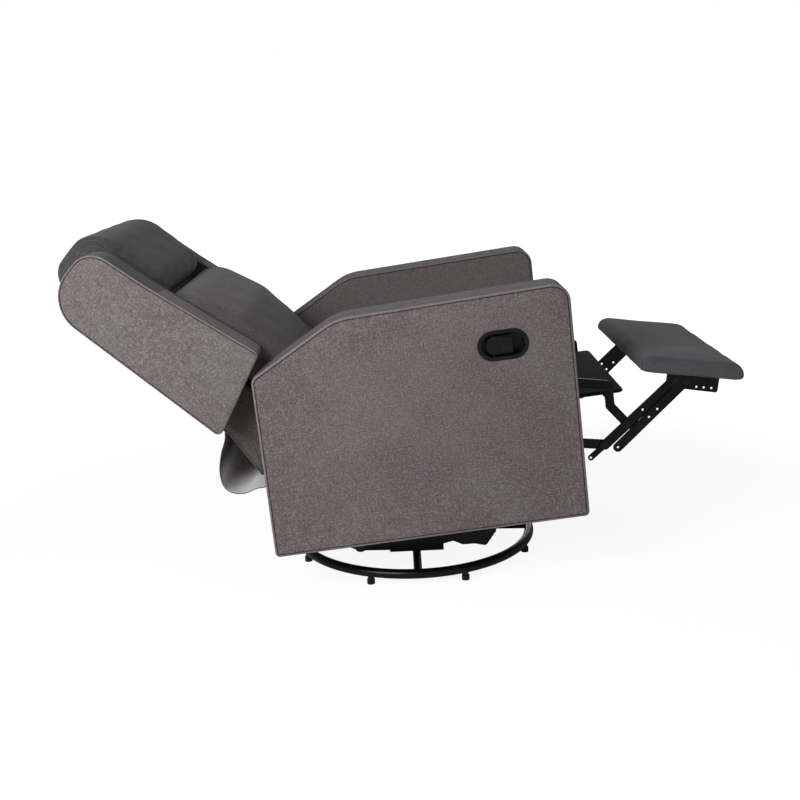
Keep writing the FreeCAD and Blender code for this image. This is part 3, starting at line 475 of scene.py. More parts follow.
def addCamera(setup):
    # the axes of a camera that looks along +Y, pitched down and rolled
    pitch, roll = math.radians(setup["pitch"]), math.radians(setup["roll"])
    right = Vector((1, 0, 0))
    ahead = Vector((0, math.cos(pitch), -math.sin(pitch)))
    up = right.cross(ahead)
    rolledRight = right * math.cos(roll) + up * math.sin(roll)
    rolledUp = up * math.cos(roll) - right * math.sin(roll)
    data = bpy.data.cameras.new("camera")
    data.lens, data.sensor_width = setup["lens"], setup["sensor"]
    camera = newObject("camera", data)
    axes = Matrix((rolledRight, rolledUp, -ahead)).transposed().to_4x4()
    camera.matrix_world = Matrix.Translation(setup["place"]) @ axes
    scene.camera = camera


addCamera(cameraSetup)


# ---- stitches ----
# one stitch as rings: place along its length, thickness and rise, as shares of the length or the radius
stitch = {"pitch": 0.0052, "length": 0.0036, "radius": 0.00045, "sides": 6,
          "reach": (-0.5, -0.4, -0.18, 0.18, 0.4, 0.5), "thick": (0.05, 0.75, 1, 1, 0.75, 0.05),
          "rise": (-0.9, -0.1, 0.5, 0.5, -0.1, -0.9)}


def stitchRow(name, line, facing, body, slot, keep=None):
    # thread capsules laid along a line: each is a short tube whose ends dip into the cloth
    pitch, near = stitch["pitch"], stitch["pitch"] * 0.3
    full = np.vstack([line, line[:1]])
    along = lengthsAlong(full)
    count = max(int(along[-1] / pitch), 2)
    at = (np.arange(count) + 0.5) * along[-1] / count
    if keep is not None:
        at = at[np.interp(at, along, np.append(keep, keep[0])) > 0.5]
        count = len(at)
    centre = sampled(full, along, at)
    ahead = unit(sampled(full, along, at + near) - sampled(full, along, at - near))
    across = unit(np.cross(ahead, (0.0, facing, 0.0)))
    up = np.cross(across, ahead)
    # axes: stitch, ring, point round the ring, x y z
    centre, ahead, up, across = (axis[:, None, None] for axis in (centre, ahead, up, across))
    sizes = (("reach", "length"), ("thick", "radius"), ("rise", "radius"))
    reach, thick, rise = (np.array(stitch[a])[None, :, None, None] * stitch[b] for a, b in sizes)
    angle = (np.arange(stitch["sides"]) * 2 * math.pi / stitch["sides"])[None, None, :, None]
    rings = (centre + ahead * reach + up * (rise + thick * np.sin(angle))
             + across * thick * np.cos(angle))
    ringCount = len(stitch["reach"])
    one = gridFaces(ringCount, stitch["sides"])
    faces = repeatedFaces(one, count, ringCount * stitch["sides"])
    row = tidied(meshObject(name, rings, faces), merge=0, capSides=stitch["sides"])
    return dressed(row, "thread", body, slot)


# ---- upholstered sides: arms and wings ----
# where the back's own measures start: 6 mm below the corner of the outer back's foot
backOrigin = localBox("back_board", "back")[0][[0, 2]] - [0, 0.006]

# of a padded edge: widths of its roll, height over the seam, the stitched groove, swell of the face,
# dip of the boxing, and points round the outline
plainPadding = {"roll": 0.0014, "looseRoll": 0.0, "lift": 0.0018, "stitchInset": 0.0043,
                "grooveDepth": 0.0, "grooveWidth": 0.0011, "crown": 0.0004, "boxingDip": 0.0, "around": 400}
armPadding = {**plainPadding, "roll": 0.0046, "lift": 0.0066, "stitchInset": 0.0060, "grooveDepth": 0.0013,
              "crown": 0.0012, "boxingDip": 0.0012, "around": 720}
wingPadding = {**plainPadding, "roll": 0.0030, "looseRoll": 0.011, "lift": 0.0056, "grooveDepth": 0.0013,
               "crown": 0.0030, "boxingDip": 0.0022, "around": 560, "pillowFrom": 0.275,
               "looseFrom": 0.80, "looseFade": 0.15, "depth": {"right": 1.0, "left": 0.88}}
rollStart = math.radians(28)
rowCounts = {"roll": 12, "groove": 20, "face": 36, "back": 12, "strip": 30, "wingStrip": 34}
# how far the groove's rows reach past the roll, how deep its stitches lie, where a flat back starts,
# rows of the roll that get a painted highlight, how it fades, and how small a face is where it closes
grooveSpan, stitchSink, backFrom = (0.0003, 0.0060), 0.7, 0.004
rimHighlightRows, rimHighlightFade, middleShare = (3, 12), 0.2, 0.03


def faceRings(outline, outward, setup, target, loose):
    # rings of a padded face with heights over the seam and marks for painted shade in the groove: a rolled
    # edge, a stitched groove, a slow crown; where the edge is loose the roll is wider and has no stitches.
    # roll height = lift * (sin turn + sin start) / (1 + sin start); groove = exp(-(distance / width)^2);
    # crown height = crown * (1 - (1 - share)^3)
    turn = np.linspace(-rollStart, math.pi / 2, rowCounts["roll"])[:, None]
    roll = (setup["roll"] + loose * setup["looseRoll"])[None]
    rollHeight = setup["lift"] * (np.sin(turn) + math.sin(rollStart)) / (1 + math.sin(rollStart))
    past = np.linspace(*grooveSpan, rowCounts["groove"])[:, None]
    fromStitch = (past + setup["roll"] - setup["stitchInset"]) / setup["grooveWidth"]
    groove = np.exp(-fromStitch ** 2) * (1 - loose[None])
    inset = np.concatenate([roll * (1 - np.cos(turn)), roll + past])
    edge = outline[None] - outward[None] * inset[..., None]
    share = np.linspace(0, 1, rowCounts["face"])[1:, None]
    inside = edge[-1][None] + (target - edge[-1])[None] * share[..., None]
    swell = setup["lift"] + setup["crown"] * (1 - (1 - share) ** 3)
    grooved = setup["lift"] - groove * setup["grooveDepth"]
    heights = np.concatenate([rollHeight + 0 * roll, grooved, swell + 0 * roll])
    # painted shade marks follow the groove
    marks = np.concatenate([0 * rollHeight * roll, groove, 0 * share * roll])
    return np.concatenate([edge, inside]), heights, marks


def paintedRimHighlight(count, along):
    # where the rolled edge gets a painted highlight
    first, last = rimHighlightRows
    across = np.zeros(count)
    across[first:last] = np.sin(np.linspace(rimHighlightFade, math.pi - rimHighlightFade, last - first))
    return across[:, None] * along[None]


def smallMiddle(outline):
    # a small copy of the outline about its middle, where a face closes
    middle = (outline.min(0) + outline.max(0)) / 2
    return middle + middleShare * (outline - middle)


def ovalRing(centre, length, height, towards):
    # the point of an upright oval in each direction from its centre: two half circles and straight sides
    away = unit(towards - centre)
    reach, radius = length / 2 - height / 2, height / 2
    side = radius / np.maximum(np.abs(away[:, 1]), 1e-6)
    along = np.abs(away[:, 0])
    end = reach * along + np.sqrt(np.maximum(radius ** 2 - (reach * away[:, 1]) ** 2, 0))
    return centre + away * np.where(side * along <= reach, side, end)[:, None]


def stitchLine(outline, outward, setup, part, seamY, sign):
    height = setup["lift"] - setup["grooveDepth"] * stitchSink
    return spaced(outline - outward * setup["stitchInset"], seamY + sign * height, part)


def sidePanel(name, outline, part, seamY, sign, setup, depth, hole=None):
    # a padded panel: its face from the seam to the middle or the hole, and a flat back
    outward = outwardOf(outline)
    target = smallMiddle(outline) if hole is None else ovalRing(*hole, outline)
    rings, heights, marks = faceRings(outline, outward, setup, target, np.zeros(len(outline)))
    back = np.stack([outline + (target - outline) * s for s in np.linspace(backFrom, 1, rowCounts["back"])])
    none = np.zeros((rowCounts["back"], len(outline)))
    y = np.concatenate([none + seamY - sign * depth, seamY + sign * heights])
    stitched = np.full(len(outline), setup["grooveDepth"] > 0)
    # painted highlight on the rolled rim where the edge is stitched
    rim = np.concatenate([none, paintedRimHighlight(len(marks), stitched)])
    full = spaced(np.concatenate([back[::-1], rings]), y, part)
    # the groove's painted shade goes to the mesh as a mark
    return ringPiece(name, full, hole is not None, seam=np.concatenate([none, marks]), rim=rim)


def seamShade(share, width):
    # painted shade along both edges of a strip, where it meets the panels: exp(-(distance / 1.2 mm)^2)
    return np.exp(-(np.minimum(share, 1 - share) * width / 0.0012) ** 2)


def boxingStrip(name, outline, part, y0, y1, setup, depth):
    # the strip between two panels, with a plain inner wall: dip = 0.2 mm + boxingDip * |2 share - 1|^6
    outward = outwardOf(outline)
    share = np.linspace(0, 1, rowCounts["strip"])
    dip = setup["boxingDip"] * (2 * np.abs(share - 0.5)) ** 6 + 0.0002
    outer = outline[None] - outward[None] * dip[:, None, None]
    inner = np.stack([outline - outward * depth] * 2)
    flat = np.concatenate([outer, inner])
    y = np.concatenate([y0 + (y1 - y0) * share, [y1, y0]])
    # painted shade along the strip's edges
    seam = np.concatenate([seamShade(share, abs(y1 - y0)), [0, 0]])
    marks = np.repeat(seam[:, None], len(outline), 1)
    return ringPiece(name, spaced(flat, y[:, None], part), wrap=True, seam=marks)


def buildArm(side):
    sign = -1 if side == "right" else 1
    setup = armPadding
    cupRim, panelBack, stripDepth = 0.0105, 0.002, 0.010
    outline = outlineOf("arm_inner_panel_" + side, "body", setup["around"])
    outward = outwardOf(outline)
    low, high = localBox("arm_band_" + side, "body")
    panelLow, panelHigh = localBox("arm_outer_panel_" + side, "body")
    tuck = panelHigh[1] - panelLow[1] - setup["lift"]
    outerSeam, innerSeam = (low[1], high[1]) if sign < 0 else (high[1], low[1])
    outerSeam, innerSeam = outerSeam + sign * tuck, innerSeam - sign * tuck
    hole = None
    if side == "right":
        cupLow, cupHigh = localBox("lever_cup", "body")
        size = cupHigh - cupLow
        hole = ((cupLow + cupHigh)[[0, 2]] / 2, size[0] - cupRim, size[2] - cupRim)
    # the inner panel takes the darker inner copy of the cloth, with painted shade
    faces = (("Outer", outerSeam, sign, hole, "side", "side_cloth"),
             ("Inner", innerSeam, -sign, None, "inner", "dark_cloth"))
    for title, seamY, facing, opening, finish, slot in faces:
        name = "arm" + title
        panel = sidePanel(name + "_" + side, outline, "body", seamY, facing, setup, panelBack, opening)
        stoodFor = "arm_" + title.lower() + "_panel_" + side
        dressed(panel, finish, "body", slot, stoodFor)
        line = stitchLine(outline, outward, setup, "body", seamY, facing)
        stitchRow(name + "Stitch_" + side, line, facing, "body", slot)
    strip = boxingStrip("armBoxing_" + side, outline, "body", outerSeam, innerSeam, setup, stripDepth)
    # the boxing takes the darker boxing copy of the cloth, with painted shade
    dressed(strip, "boxing", "body", "dark_cloth", "arm_band_" + side)


def buildWing(side):
    # a pad with both faces stitched to a narrow boxing, but turned under without stitches along its foot;
    # the boxing's dip = boxingDip * |2 share - 1|^4 * (1 - 0.6 loose)
    sign = -1 if side == "right" else 1
    setup = wingPadding
    outline = outlineOf("wing_" + side, "back", setup["around"])
    outline[:, 0] = backOrigin[0] + (outline[:, 0] - backOrigin[0]) * setup["depth"][side]
    low, high = localBox("wing_" + side, "back")
    outer, inner = (low[1], high[1]) if sign < 0 else (high[1], low[1])
    outerSeam, innerSeam = outer - sign * setup["lift"], inner + sign * setup["lift"]
    outward = outwardOf(outline)
    loose = np.clip((-outward[:, 1] - setup["looseFrom"]) / setup["looseFade"], 0, 1)
    rings, heights, marks = faceRings(outline, outward, setup, smallMiddle(outline), loose)
    share = np.linspace(0, 1, rowCounts["wingStrip"])[1:-1, None]
    dip = setup["boxingDip"] * (2 * np.abs(share - 0.5)) ** 4 * (1 - 0.6 * loose[None])
    boxing = outline[None] - outward[None] * dip[..., None]
    across = innerSeam - outerSeam
    y = np.concatenate([(outerSeam + sign * heights)[::-1], outerSeam + across * share + 0 * dip,
                        innerSeam - sign * np.minimum(heights, setup["lift"])])
    # painted shade in the grooves and along the boxing's edges, none where the edge is loose
    shade = seamShade(share, abs(across)) * (1 - loose[None])
    seam = np.concatenate([marks[::-1], shade, marks])
    # painted highlight on the rolled rim, none where the edge is loose
    rim = paintedRimHighlight(len(marks), 1 - loose)
    rim = np.concatenate([rim[::-1], 0 * dip, rim])
    full = spaced(np.concatenate([rings[::-1], boxing, rings]), y, "back")
    piece = ringPiece("wingPad_" + side, full, seam=seam, rim=rim)
    dressed(piece, "wing", "back", "side_cloth", "wing_" + side)
    # the pillow's cloth, a darker copy with painted shade, runs over the boxing beside it and down the
    # inner face
    row, column = np.divmod(np.arange(len(outline) * (len(full) - 1)), len(outline))
    isInner = row >= len(rings) - 1 + len(share)
    isBeside = (row >= len(rings) - 1) & (outline[column, 1] > backOrigin[1] + setup["pillowFrom"])
    secondFinish(piece, "pillow", isInner | isBeside)
    line = stitchLine(outline, outward, setup, "back", outerSeam, sign)
    stitchRow("wingStitch_" + side, line, sign, "back", "side_cloth", 1 - loose)


for side in ("right", "left"):
    buildArm(side)
    buildWing(side)
print("arms and wings made")


# ---- stuffed cushions ----
def waves(points, amount, size):
    # a slow unevenness of stuffed cloth: crossed sines that bend one another, as
    # (sin(5.1 x + 1.3 sin 3.7 y) * cos(4.3 y + 0.8 sin 4.9 z) + 0.5 sin(7.3 z + 6.1 y)) / 1.5
    x, y, z = (points[:, i] / size for i in range(3))
    crossed = np.sin(x * 5.1 + 1.3 * np.sin(y * 3.7)) * np.cos(y * 4.3 + 0.8 * np.sin(z * 4.9))
    return amount * (crossed + 0.5 * np.sin(z * 7.3 + y * 6.1)) / 1.5


# the cover's cloth, and how many frames it is blown up for
clothSetup = {"quality": 4, "mass": 0.25, "tension_stiffness": 12, "compression_stiffness": 12,
              "shear_stiffness": 6, "bending_stiffness": 0.6, "use_pressure": True}
clothFrames = 20
waveSize = 0.12


def inflate(piece, setup):
    # remeshed evenly, blown up as cloth with no point moved further than the cap, made uneven and smoothed
    remesh = piece.modifiers.new("even", "REMESH")
    remesh.mode = "VOXEL"
    remesh.voxel_size = setup["voxel"]
    applied(piece)
    start = vertexArray(piece.data)
    if setup["pressure"]:
        cloth = piece.modifiers.new("cloth", "CLOTH")
        for key, value in clothSetup.items():
            setattr(cloth.settings, key, value)
        cloth.settings.uniform_pressure_force = setup["pressure"]
        cloth.settings.effector_weights.gravity = 0
        cloth.point_cache.frame_start = 1
        cloth.point_cache.frame_end = clothFrames
        for step in range(1, clothFrames + 1):
            scene.frame_set(step)
        applied(piece)
        scene.frame_set(1)
    moved = vertexArray(piece.data) - start
    size = np.linalg.norm(moved, axis=1, keepdims=True)
    blown = start + moved * np.minimum(1, setup["cap"] / np.maximum(size, 1e-9))
    blown += vertexArray(piece.data, "normal") * waves(blown, setup["uneven"], waveSize)[:, None]
    setPieceArray(piece, blown)
    ease = piece.modifiers.new("ease", "SMOOTH")
    ease.iterations = setup["smooth"]
    ease.factor = 0.5
    applied(piece)
    fine = piece.modifiers.new("fine", "SUBSURF")
    fine.levels = fine.render_levels = 1
    return applied(piece)


def filleted(corners):
    # a closed line round (x, z, radius) corners in millimetres
    line = []
    for before, here, after in zip(corners[-1:] + corners[:-1], corners, corners[1:] + corners[:1]):
        corner, radius = Vector(here[:2]), here[2]
        a, b = ((Vector(other[:2]) - corner).normalized() for other in (before, after))
        half = a.angle(b) / 2
        centre = corner + (a + b).normalized() * radius / math.sin(half)
        start, stop = (corner + side * radius / math.tan(half) - centre for side in (a, b))
        line += [centre + (start * (1 - share) + stop * share).normalized() * radius
                 for share in np.linspace(0, 1, cushionCounts["corner"])]
    return np.array(line) / 1000


# in front of the back's corner: where the loose faces start and where the rear pull is over;
# the least that a section is drawn in to; points of a corner and a section, and slices
cushionFace, rearReach, leastShare = 0.1, 0.11, 0.05
cushionCounts = {"corner": 14, "section": 300, "slices": 81}


def stuffedForm(name, setup, halfWidth):
    # slices of a side section, drawn in towards the anchor over rounded ends, less at the rear, by
    # endRadius * (1 - sqrt(1 - over^2)), and thinner in front by 1 - crown * |y / halfWidth|^power
    section = resampled(filleted(setup["section"]), cushionCounts["section"]) + backOrigin
    anchor = np.array(setup["anchor"]) / 1000 + backOrigin
    face = backOrigin[0] + cushionFace
    y = halfWidth * np.sin(np.linspace(-math.pi / 2, math.pi / 2, cushionCounts["slices"]))
    over = np.clip((np.abs(y) - (halfWidth - setup["endRadius"])) / setup["endRadius"], 0, 1)
    pull = setup["endRadius"] * (1 - np.sqrt(1 - over ** 2)) + setup["shrink"]
    away = section - anchor
    reach = np.linalg.norm(away, axis=1, keepdims=True)
    behind = np.interp(section[:, 0] - backOrigin[0], [0, rearReach], [setup["rearPull"], 1])
    drawnIn = pull[:, None, None] * behind[None, :, None] / reach[None]
    rings = anchor + away[None] * np.clip(1 - drawnIn, leastShare, 1)
    thin = 1 - setup["crown"] * (np.abs(y) / halfWidth) ** setup["power"]
    ahead = rings[..., 0] - face
    rings[..., 0] = np.where(ahead > 0, face + ahead * thin[:, None], rings[..., 0])
    return ringPiece(name, spaced(rings, y[:, None], "back"))


def kept(piece, part, low, high):
    # presses a piece back inside a box in its part's level frame
    points = turned(vertexArray(piece.data), -lean[part])
    setPieceArray(piece, turned(np.clip(points, low, high), lean[part]))


def stuffedCushion(name, node, setup, finish):
    # a cushion of the back: formed, blown up, folded beside its ends and kept in its node's space
    low, high = localBox(node, "back")
    cushion = stuffedForm(name, setup, high[1])
    inflate(cushion, setup)
    if setup["foldDepth"]:
        # a shallow fold whose line wanders by 4 mm: foldDepth * exp(-(beside / foldWidth)^2)
        points, normals = vertexArray(cushion.data), vertexArray(cushion.data, "normal")
        wander = 0.004 * np.sin(points[:, 0] * 30 + points[:, 2] * 22)
        beside = np.abs(points[:, 1]) - high[1] + setup["foldIn"] - wander
        fold = setup["foldDepth"] * np.exp(-(beside / setup["foldWidth"]) ** 2)
        setPieceArray(cushion, points - normals * fold[:, None])
    kept(cushion, "back", low - setup["spareLow"], high + setup["spareHigh"])
    dressed(cushion, finish, "back", "dark_cloth", node)


# a section's corners are (depth, height, radius) in millimetres from the back's corner
pillowSetup = {
    "section": [(100.3, 274, 6), (170, 274, 38), (163, 490, 80), (34, 485, 50), (-12, 424, 8),
                (-8, 412, 4), (100.3, 425, 4)],
    "anchor": (60, 380), "endRadius": 0.060, "rearPull": 0.4, "shrink": 0.0, "crown": 0.20, "power": 2.4,
    "voxel": 0.0053, "pressure": 4.0, "cap": 0.004, "uneven": 0.0014, "smooth": 5,
    "foldIn": 0.036, "foldDepth": 0.0022, "foldWidth": 0.0045,
    "spareLow": [0.006, 0.001, 0.0], "spareHigh": [0.009, 0.001, 0.010]}
lumbarSetup = {
    "section": [(100.3, -70, 6), (199, -112, 26), (218, 115, 90), (178.5, 264, 79), (100.3, 268, 6)],
    "anchor": (162, 80), "endRadius": 0.044, "rearPull": 1.0, "shrink": 0.002, "crown": 0.19, "power": 2,
    "voxel": 0.0058, "pressure": 4.0, "cap": 0.004, "uneven": 0.0014, "smooth": 5, "foldDepth": 0,
    "spareLow": [0.0, 0.001, 0.002], "spareHigh": [0.009, 0.001, 0.002]}


def softPad(name, node, body, finish, slot, setup):
    # a pad with its node's form, evenly meshed, blown up or only rounded at the edges
    mesh = bpy.data.meshes.new(name)
    work = bmesh.new()
    work.from_mesh(nodes[node].data)
    work.to_mesh(mesh)
    work.free()
    pad = newObject(name, mesh)
    inflate(pad, setup)
    low, high = localBox(node, body)
    kept(pad, body, low - setup["spareLow"], high + setup["spareHigh"])
    dressed(pad, finish, body, slot, node)


seatSetup = {"voxel": 0.0055, "pressure": 3.0, "cap": 0.005, "uneven": 0.0008, "smooth": 6,
             "spareLow": [0.004, 0.001, 0.0], "spareHigh": [0.006, 0.001, 0.008]}
firmSetup = {"voxel": 0.008, "pressure": 0, "cap": 0.0, "uneven": 0.0005, "smooth": 4,
             "spareLow": 0, "spareHigh": 0}


def roundedLoop(size, corner, around=240):
    # a rounded rectangle about the origin, as (x, y)
    angle = np.linspace(0, 2 * math.pi, around, endpoint=False)
    circle = np.stack([np.cos(angle), np.sin(angle)], -1)
    half = size[:2] / 2 - corner
    return resampled(np.sign(circle) * half + corner * circle, around)


def stackedPad(name, part, middle, loop, insets, heights):
    # copies of a loop, drawn in by each inset and set at each height
    half = loop.max(0)
    flat = np.stack([loop * (1 - inset / half) for inset in insets]) + middle[:2]
    rings = np.stack(np.broadcast_arrays(flat[..., 0], flat[..., 1], heights[:, None]), -1)
    return ringPiece(name, turned(rings, lean[part]))


def buildFootrestPad():
    # the pad wraps its board: a small radius below, a wide roll above and a slow crown
    setup = {"voxel": 0.0045, "pressure": 3.0, "cap": 0.003, "uneven": 0.0007, "smooth": 4}
    low, high = localBox("footrest_cushion", "footrest")
    under = localBox("footrest_deck", "footrest")[0][2]
    turn = np.linspace(0, math.pi / 2, 14)
    small, wide, side, crown, corner = 0.0045, 0.024, 0.009, 0.0035, 0.012
    wall, spill, free, underShare, topShare = 0.0006, 0.004, 9, 0.46, 0.38
    share = np.linspace(0, 1, 20)[1:]
    size = high - low
    bottom, rise = under - wall, high[2] - crown - under - side
    insets = np.concatenate([small + size[0] * underShare * share[::-1], small * (1 - np.sin(turn)),
                             wide * (1 - np.cos(turn)), wide + size[0] * topShare * share])
    heights = np.concatenate([np.full(len(share), bottom), bottom + small * (1 - np.cos(turn)),
                              under + side + rise * np.sin(turn), high[2] - crown * (1 - share) ** 2])
    loop = roundedLoop(size, corner)
    pad = stackedPad("footrestPad", "footrest", (high + low) / 2, loop, insets, heights)
    inflate(pad, setup)
    kept(pad, "footrest", [-free, -free, bottom], [free, free, high[2] + spill])
    # the footrest pad takes the darker rest copy of the cloth, with painted shade
    dressed(pad, "rest", "footrest", "dark_cloth", "footrest_cushion", "footrest_deck")


def buildFlap():
    # a cloth-covered board with a half-round rim
    low, high = localBox("flap_board", "body")
    size, middle = high - low, (high + low) / 2
    crown, corner, faceShare = 0.001, 0.012, 0.92
    rim = size[2] / 2 - crown
    turn = np.radians(np.linspace(-90, 90, 13))
    share = np.linspace(0, 1, 14)[1:]
    slow = (size[0] / 2 - rim) * faceShare * share
    insets = np.concatenate([rim + slow[::-1], rim * (1 - np.cos(turn)), rim + slow])
    rise = crown * (1 - (1 - share) ** 2)
    heights = middle[2] + np.concatenate([-rim - rise[::-1], rim * np.sin(turn), rim + rise])
    flap = stackedPad("flapPad", "body", middle, roundedLoop(size, corner), insets, heights)
    dressed(flap, "flap", "crank", "dark_cloth", "flap_board")


def buildBackSides():
    # cloth over the sides of the back's foot, between the wings and the arms
    corners = [[-16, 70], [-17, -24], [-45, -132], [-28, -146], [70, -142], [96, -60], [96, 70]]
    thickness, gap = 0.0016, 0.0015
    outline = resampled(np.array(corners) / 1000 + backOrigin, plainPadding["around"])
    reach = localBox("back_arms", "back")[1][1] + gap
    for side, sign in (("right", -1), ("left", 1)):
        cover = sidePanel("backSide_" + side, outline, "back", sign * (reach + thickness), sign,
                          plainPadding, thickness)
        # the sides take the darker lowerSide copy of the cloth, with painted shade
        dressed(cover, "lowerSide", "back", "side_cloth")


# painted shade: all these but the outer back take darker copies of the side cloth
stuffedCushion("headPillow", "head_pillow", pillowSetup, "pillow")
stuffedCushion("lumbarCushion", "lumbar_cushion", lumbarSetup, "lumbar")
softPad("seatCushion", "seat_cushion", "body", "inner", "dark_cloth", seatSetup)
buildFootrestPad()
buildFlap()
softPad("lowerBackPad", "lower_back", "back", "lowerSide", "dark_cloth", firmSetup)
softPad("backGround", "back_foam", "back", "pillow", "dark_cloth", firmSetup)
softPad("outerBack", "back_board", "back", "wing", "side_cloth", firmSetup)
buildBackSides()
print("cushions made")


# ---- straps under the seat ----
def buildStraps():
    # each strap is the node's own strip with a slight sag
    points = nodePoints("seat_straps", "body")
    low, high = points.min(0), points.max(0)
    edges = np.unique(np.round(points[:, 1], 4)).reshape(-1, 2)
    along, sag = 40, 0.0022
    y = edges[:, None, [0, 1, 1, 0]]
    x = np.linspace(low[0], high[0], along)[None, :, None]
    drop = sag * np.sin(math.pi * np.linspace(0, 1, along))[None, :, None]
    z = low[2] + (high - low)[2] * np.array([0, 0, 1, 1]) - drop
    grid = np.stack(np.broadcast_arrays(x, y, z), -1)
    size = 4 * along
    faces = repeatedFaces(gridFaces(along, 4), len(edges), size)
    caps = repeatedFaces(np.array([[0, 1, 2, 3], np.arange(4) + size - 4]), len(edges), size)
    full = turned(grid, lean["body"])
    straps = tidied(meshObject("seatWebbing", full, np.vstack([faces, caps]), smooth=False))
    dressed(straps, "webbing", "body", "dark_cloth", "seat_straps")


buildStraps()


# ---- hanging cloth at the foot of the back ----
# the drape is a line of (x, z) in millimetres from the back's corner
# the shade keys give where the lining's painted shade ends along the drop and how long it fades
skirtCut = {"thickness": 0.0024, "ripple": 0.002, "paintedShadeUntil": 0.50, "paintedShadeFade": 0.16,
            "along": 90, "across": 120,
            "drape": [(-4.3, -15), (-8, -36), (-21, -66), (-31, -104), (-29, -138), (-13, -156),
                      (13, -161), (39, -154), (61, -153)]}


def smoothLine(points, count):
    # a Catmull-Rom line through points, evenly resampled
    padded = np.vstack([2 * points[0] - points[1], points, 2 * points[-1] - points[-2]])
    t = np.linspace(0, 1, 24, endpoint=False)[:, None]
    spans = []
    for a, b, c, d in zip(padded[:-3], padded[1:-2], padded[2:-1], padded[3:]):
        bend, twist = 2 * a - 5 * b + 4 * c - d, 3 * b - a - 3 * c + d
        spans.append(0.5 * (2 * b + (c - a) * t + bend * t ** 2 + twist * t ** 3))
    line = np.vstack(spans + [points[-1:]])
    along = lengthsAlong(line)
    return sampled(line, along, np.linspace(0, along[-1], count)), along[-1]


def buildSkirt():
    # a strip that follows the drape line across the chair, with ripples that grow away from its seam:
    # ripple * share * sin(31 y + 0.7 sin 11 y)
    low, high = localBox("rear_skirt", "body")
    corner = turned(np.array([backOrigin[0], 0, backOrigin[1]]), lean["back"] - lean["body"])[[0, 2]]
    rowCount, across = skirtCut["along"], skirtCut["across"]
    path, length = smoothLine(np.array(skirtCut["drape"]) / 1000 + corner, rowCount)
    run = np.gradient(path, axis=0)
    normal = unit(np.stack([-run[:, 1], run[:, 0]], -1))
    y = np.linspace(low[1], high[1], across)
    share = np.linspace(0, 1, rowCount)
    ripple = skirtCut["ripple"] * share[:, None] * np.sin(y[None] * 31 + 0.7 * np.sin(y[None] * 11))
    half = skirtCut["thickness"] / 2
    sides = [spaced(path[:, None] + normal[:, None] * (ripple + offset)[..., None], y[None], "body")
             for offset in (half, -half)]
    loops = np.concatenate([sides[0], sides[1][:, ::-1]], 1)
    around = 2 * across
    faces = gridFaces(rowCount, around).tolist()
    caps = [[base + i for i in (k, k + 1, around - 2 - k, around - 1 - k)]
            for base in (0, (rowCount - 1) * around) for k in range(across - 1)]
    skirt = meshObject("rearSkirt", loops, faces + caps)
    # painted shade: the lining is darkened where it hangs from the back, out of the light: shade =
    # depth^0.7
    depth = np.clip((skirtCut["paintedShadeUntil"] - share) / skirtCut["paintedShadeFade"], 0, 1)
    inside = np.repeat((depth ** 0.7)[:, None], around, 1)
    inside[:, across:] = 0
    # the lining's painted shade shares the mark of the seams' painted shade
    setFloat(skirt, "seam", inside)
    tidied(skirt, merge=0)
    # the skirt's outer face takes the darker lowerSide copy of the cloth, with painted shade
    dressed(skirt, "lowerSide", "back", "dark_cloth", "rear_skirt")
    secondFinish(skirt, "lining", np.tile(np.arange(around), rowCount - 1) < across - 1)
    return length


skirtLength = buildSkirt()
print("skirt made, drop", round(skirtLength, 3))


# ---- studio ----
chairMiddle, backMiddle = (0.05, 0.0, 0.45), (-0.3, -0.3, 0.65)
# name, place, aim, size and power of each light
lights = [("keyLight", (-1.2, -2.0, 1.4), backMiddle, (1.2, 1.0), 42.0),
          ("fillLight", (1.9, -3.6, 1.0), chairMiddle, (2.2, 1.8), 4.5),
          ("upperLight", (1.3, -1.2, 2.5), (-0.3, -0.1, 0.6), (1.0, 1.0), 6.5),
          ("rearLight", (0.5, 3.4, 1.0), chairMiddle, (2.2, 1.8), 22.0)]
studio = {"ambient": 0.16, "floorWhite": 0.80, "floorGlow": 1.13, "shadowReach": 1.1,
          "floorHalf": 30.0, "floorGap": 0.0005, "floorMatt": 0.9}


def addLight(name, place, aim, size, power):
    data = bpy.data.lights.new(name, "AREA")
    data.shape = "RECTANGLE"
    data.size, data.size_y = size
    data.energy = power
    lamp = newObject(name, data)
    ahead = (Vector(aim) - Vector(place)).to_track_quat("-Z", "Y")
    lamp.matrix_world = Matrix.Translation(place) @ ahead.to_matrix().to_4x4()


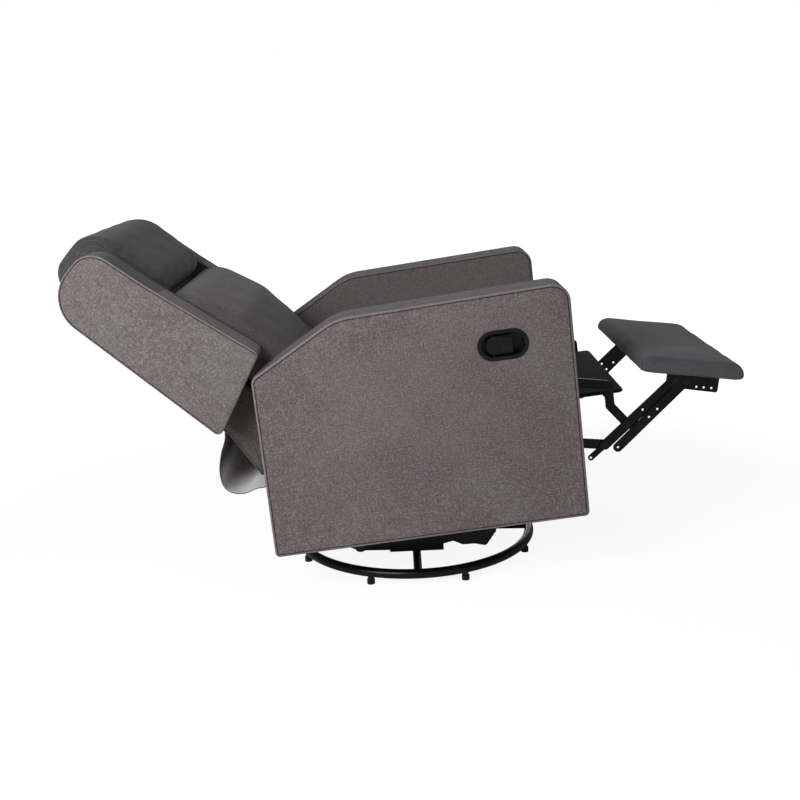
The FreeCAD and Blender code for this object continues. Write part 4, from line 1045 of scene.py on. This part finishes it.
def twoShaders(tree, kinds, colours, strengths, share, outputKind):
    # an output fed by two shaders mixed by a share; a strength of None leaves that socket out
    mixed, output = shaderNode(tree, "MixShader"), shaderNode(tree, outputKind)
    feed(tree, mixed.inputs[0], share)
    for place, (kind, colour, strength) in enumerate(zip(kinds, colours, strengths)):
        shader = preset(shaderNode(tree, kind), {"Color": (colour, colour, colour, 1)})
        if strength is not None:
            preset(shader, {"Strength": strength})
        tree.links.new(shader.outputs[0], mixed.inputs[place + 1])
    tree.links.new(mixed.outputs[0], output.inputs[0])


def cleanTree(owner):
    owner.use_nodes = True
    owner.node_tree.nodes.clear()
    return owner.node_tree


def addBackdrop(setup):
    # a soft grey sky that the camera sees as white
    scene.world = bpy.data.worlds.new("studioWorld")
    tree = cleanTree(scene.world)
    rays = shaderNode(tree, "LightPath").outputs
    seen = mathNode(tree, "MAXIMUM", rays["Is Camera Ray"], rays["Is Transmission Ray"])
    twoShaders(tree, ("Background", "Background"), (1, 1), (setup["ambient"], 1.0), seen, "OutputWorld")


def addFloor(setup):
    half = setup["floorHalf"]
    corners = np.array([[-half, -half, 0], [half, -half, 0], [half, half, 0], [-half, half, 0]])
    corners += [0, 0, cadLow.z - setup["floorGap"]]
    floor = meshObject("studioFloor", corners, np.array([[0, 1, 2, 3]]), smooth=False)
    material = bpy.data.materials.new("paleFloor")
    tree = cleanTree(material)
    # glow's share = camera ray * (floorWhite near the chair, growing to 1 from shadowReach to twice that)
    away = shaderNode(tree, "VectorMath", operation="LENGTH")
    feed(tree, away.inputs[0], shaderNode(tree, "TexCoord").outputs["Object"])
    reach = setup["shadowReach"]
    grown = preset(shaderNode(tree, "MapRange", clamp=True),
                   {"From Min": reach, "From Max": 2 * reach, "To Min": setup["floorWhite"], "To Max": 1.0})
    feed(tree, grown.inputs["Value"], away.outputs["Value"])
    seen = shaderNode(tree, "LightPath").outputs["Is Camera Ray"]
    share = mathNode(tree, "MULTIPLY", seen, grown.outputs["Result"])
    twoShaders(tree, ("BsdfDiffuse", "Emission"), (setup["floorMatt"], 1), (None, setup["floorGlow"]),
               share, "OutputMaterial")
    floor.data.materials.append(material)


for light in lights:
    addLight(*light)
addBackdrop(studio)
addFloor(studio)
scene.view_settings.view_transform = "Standard"
print("studio made")
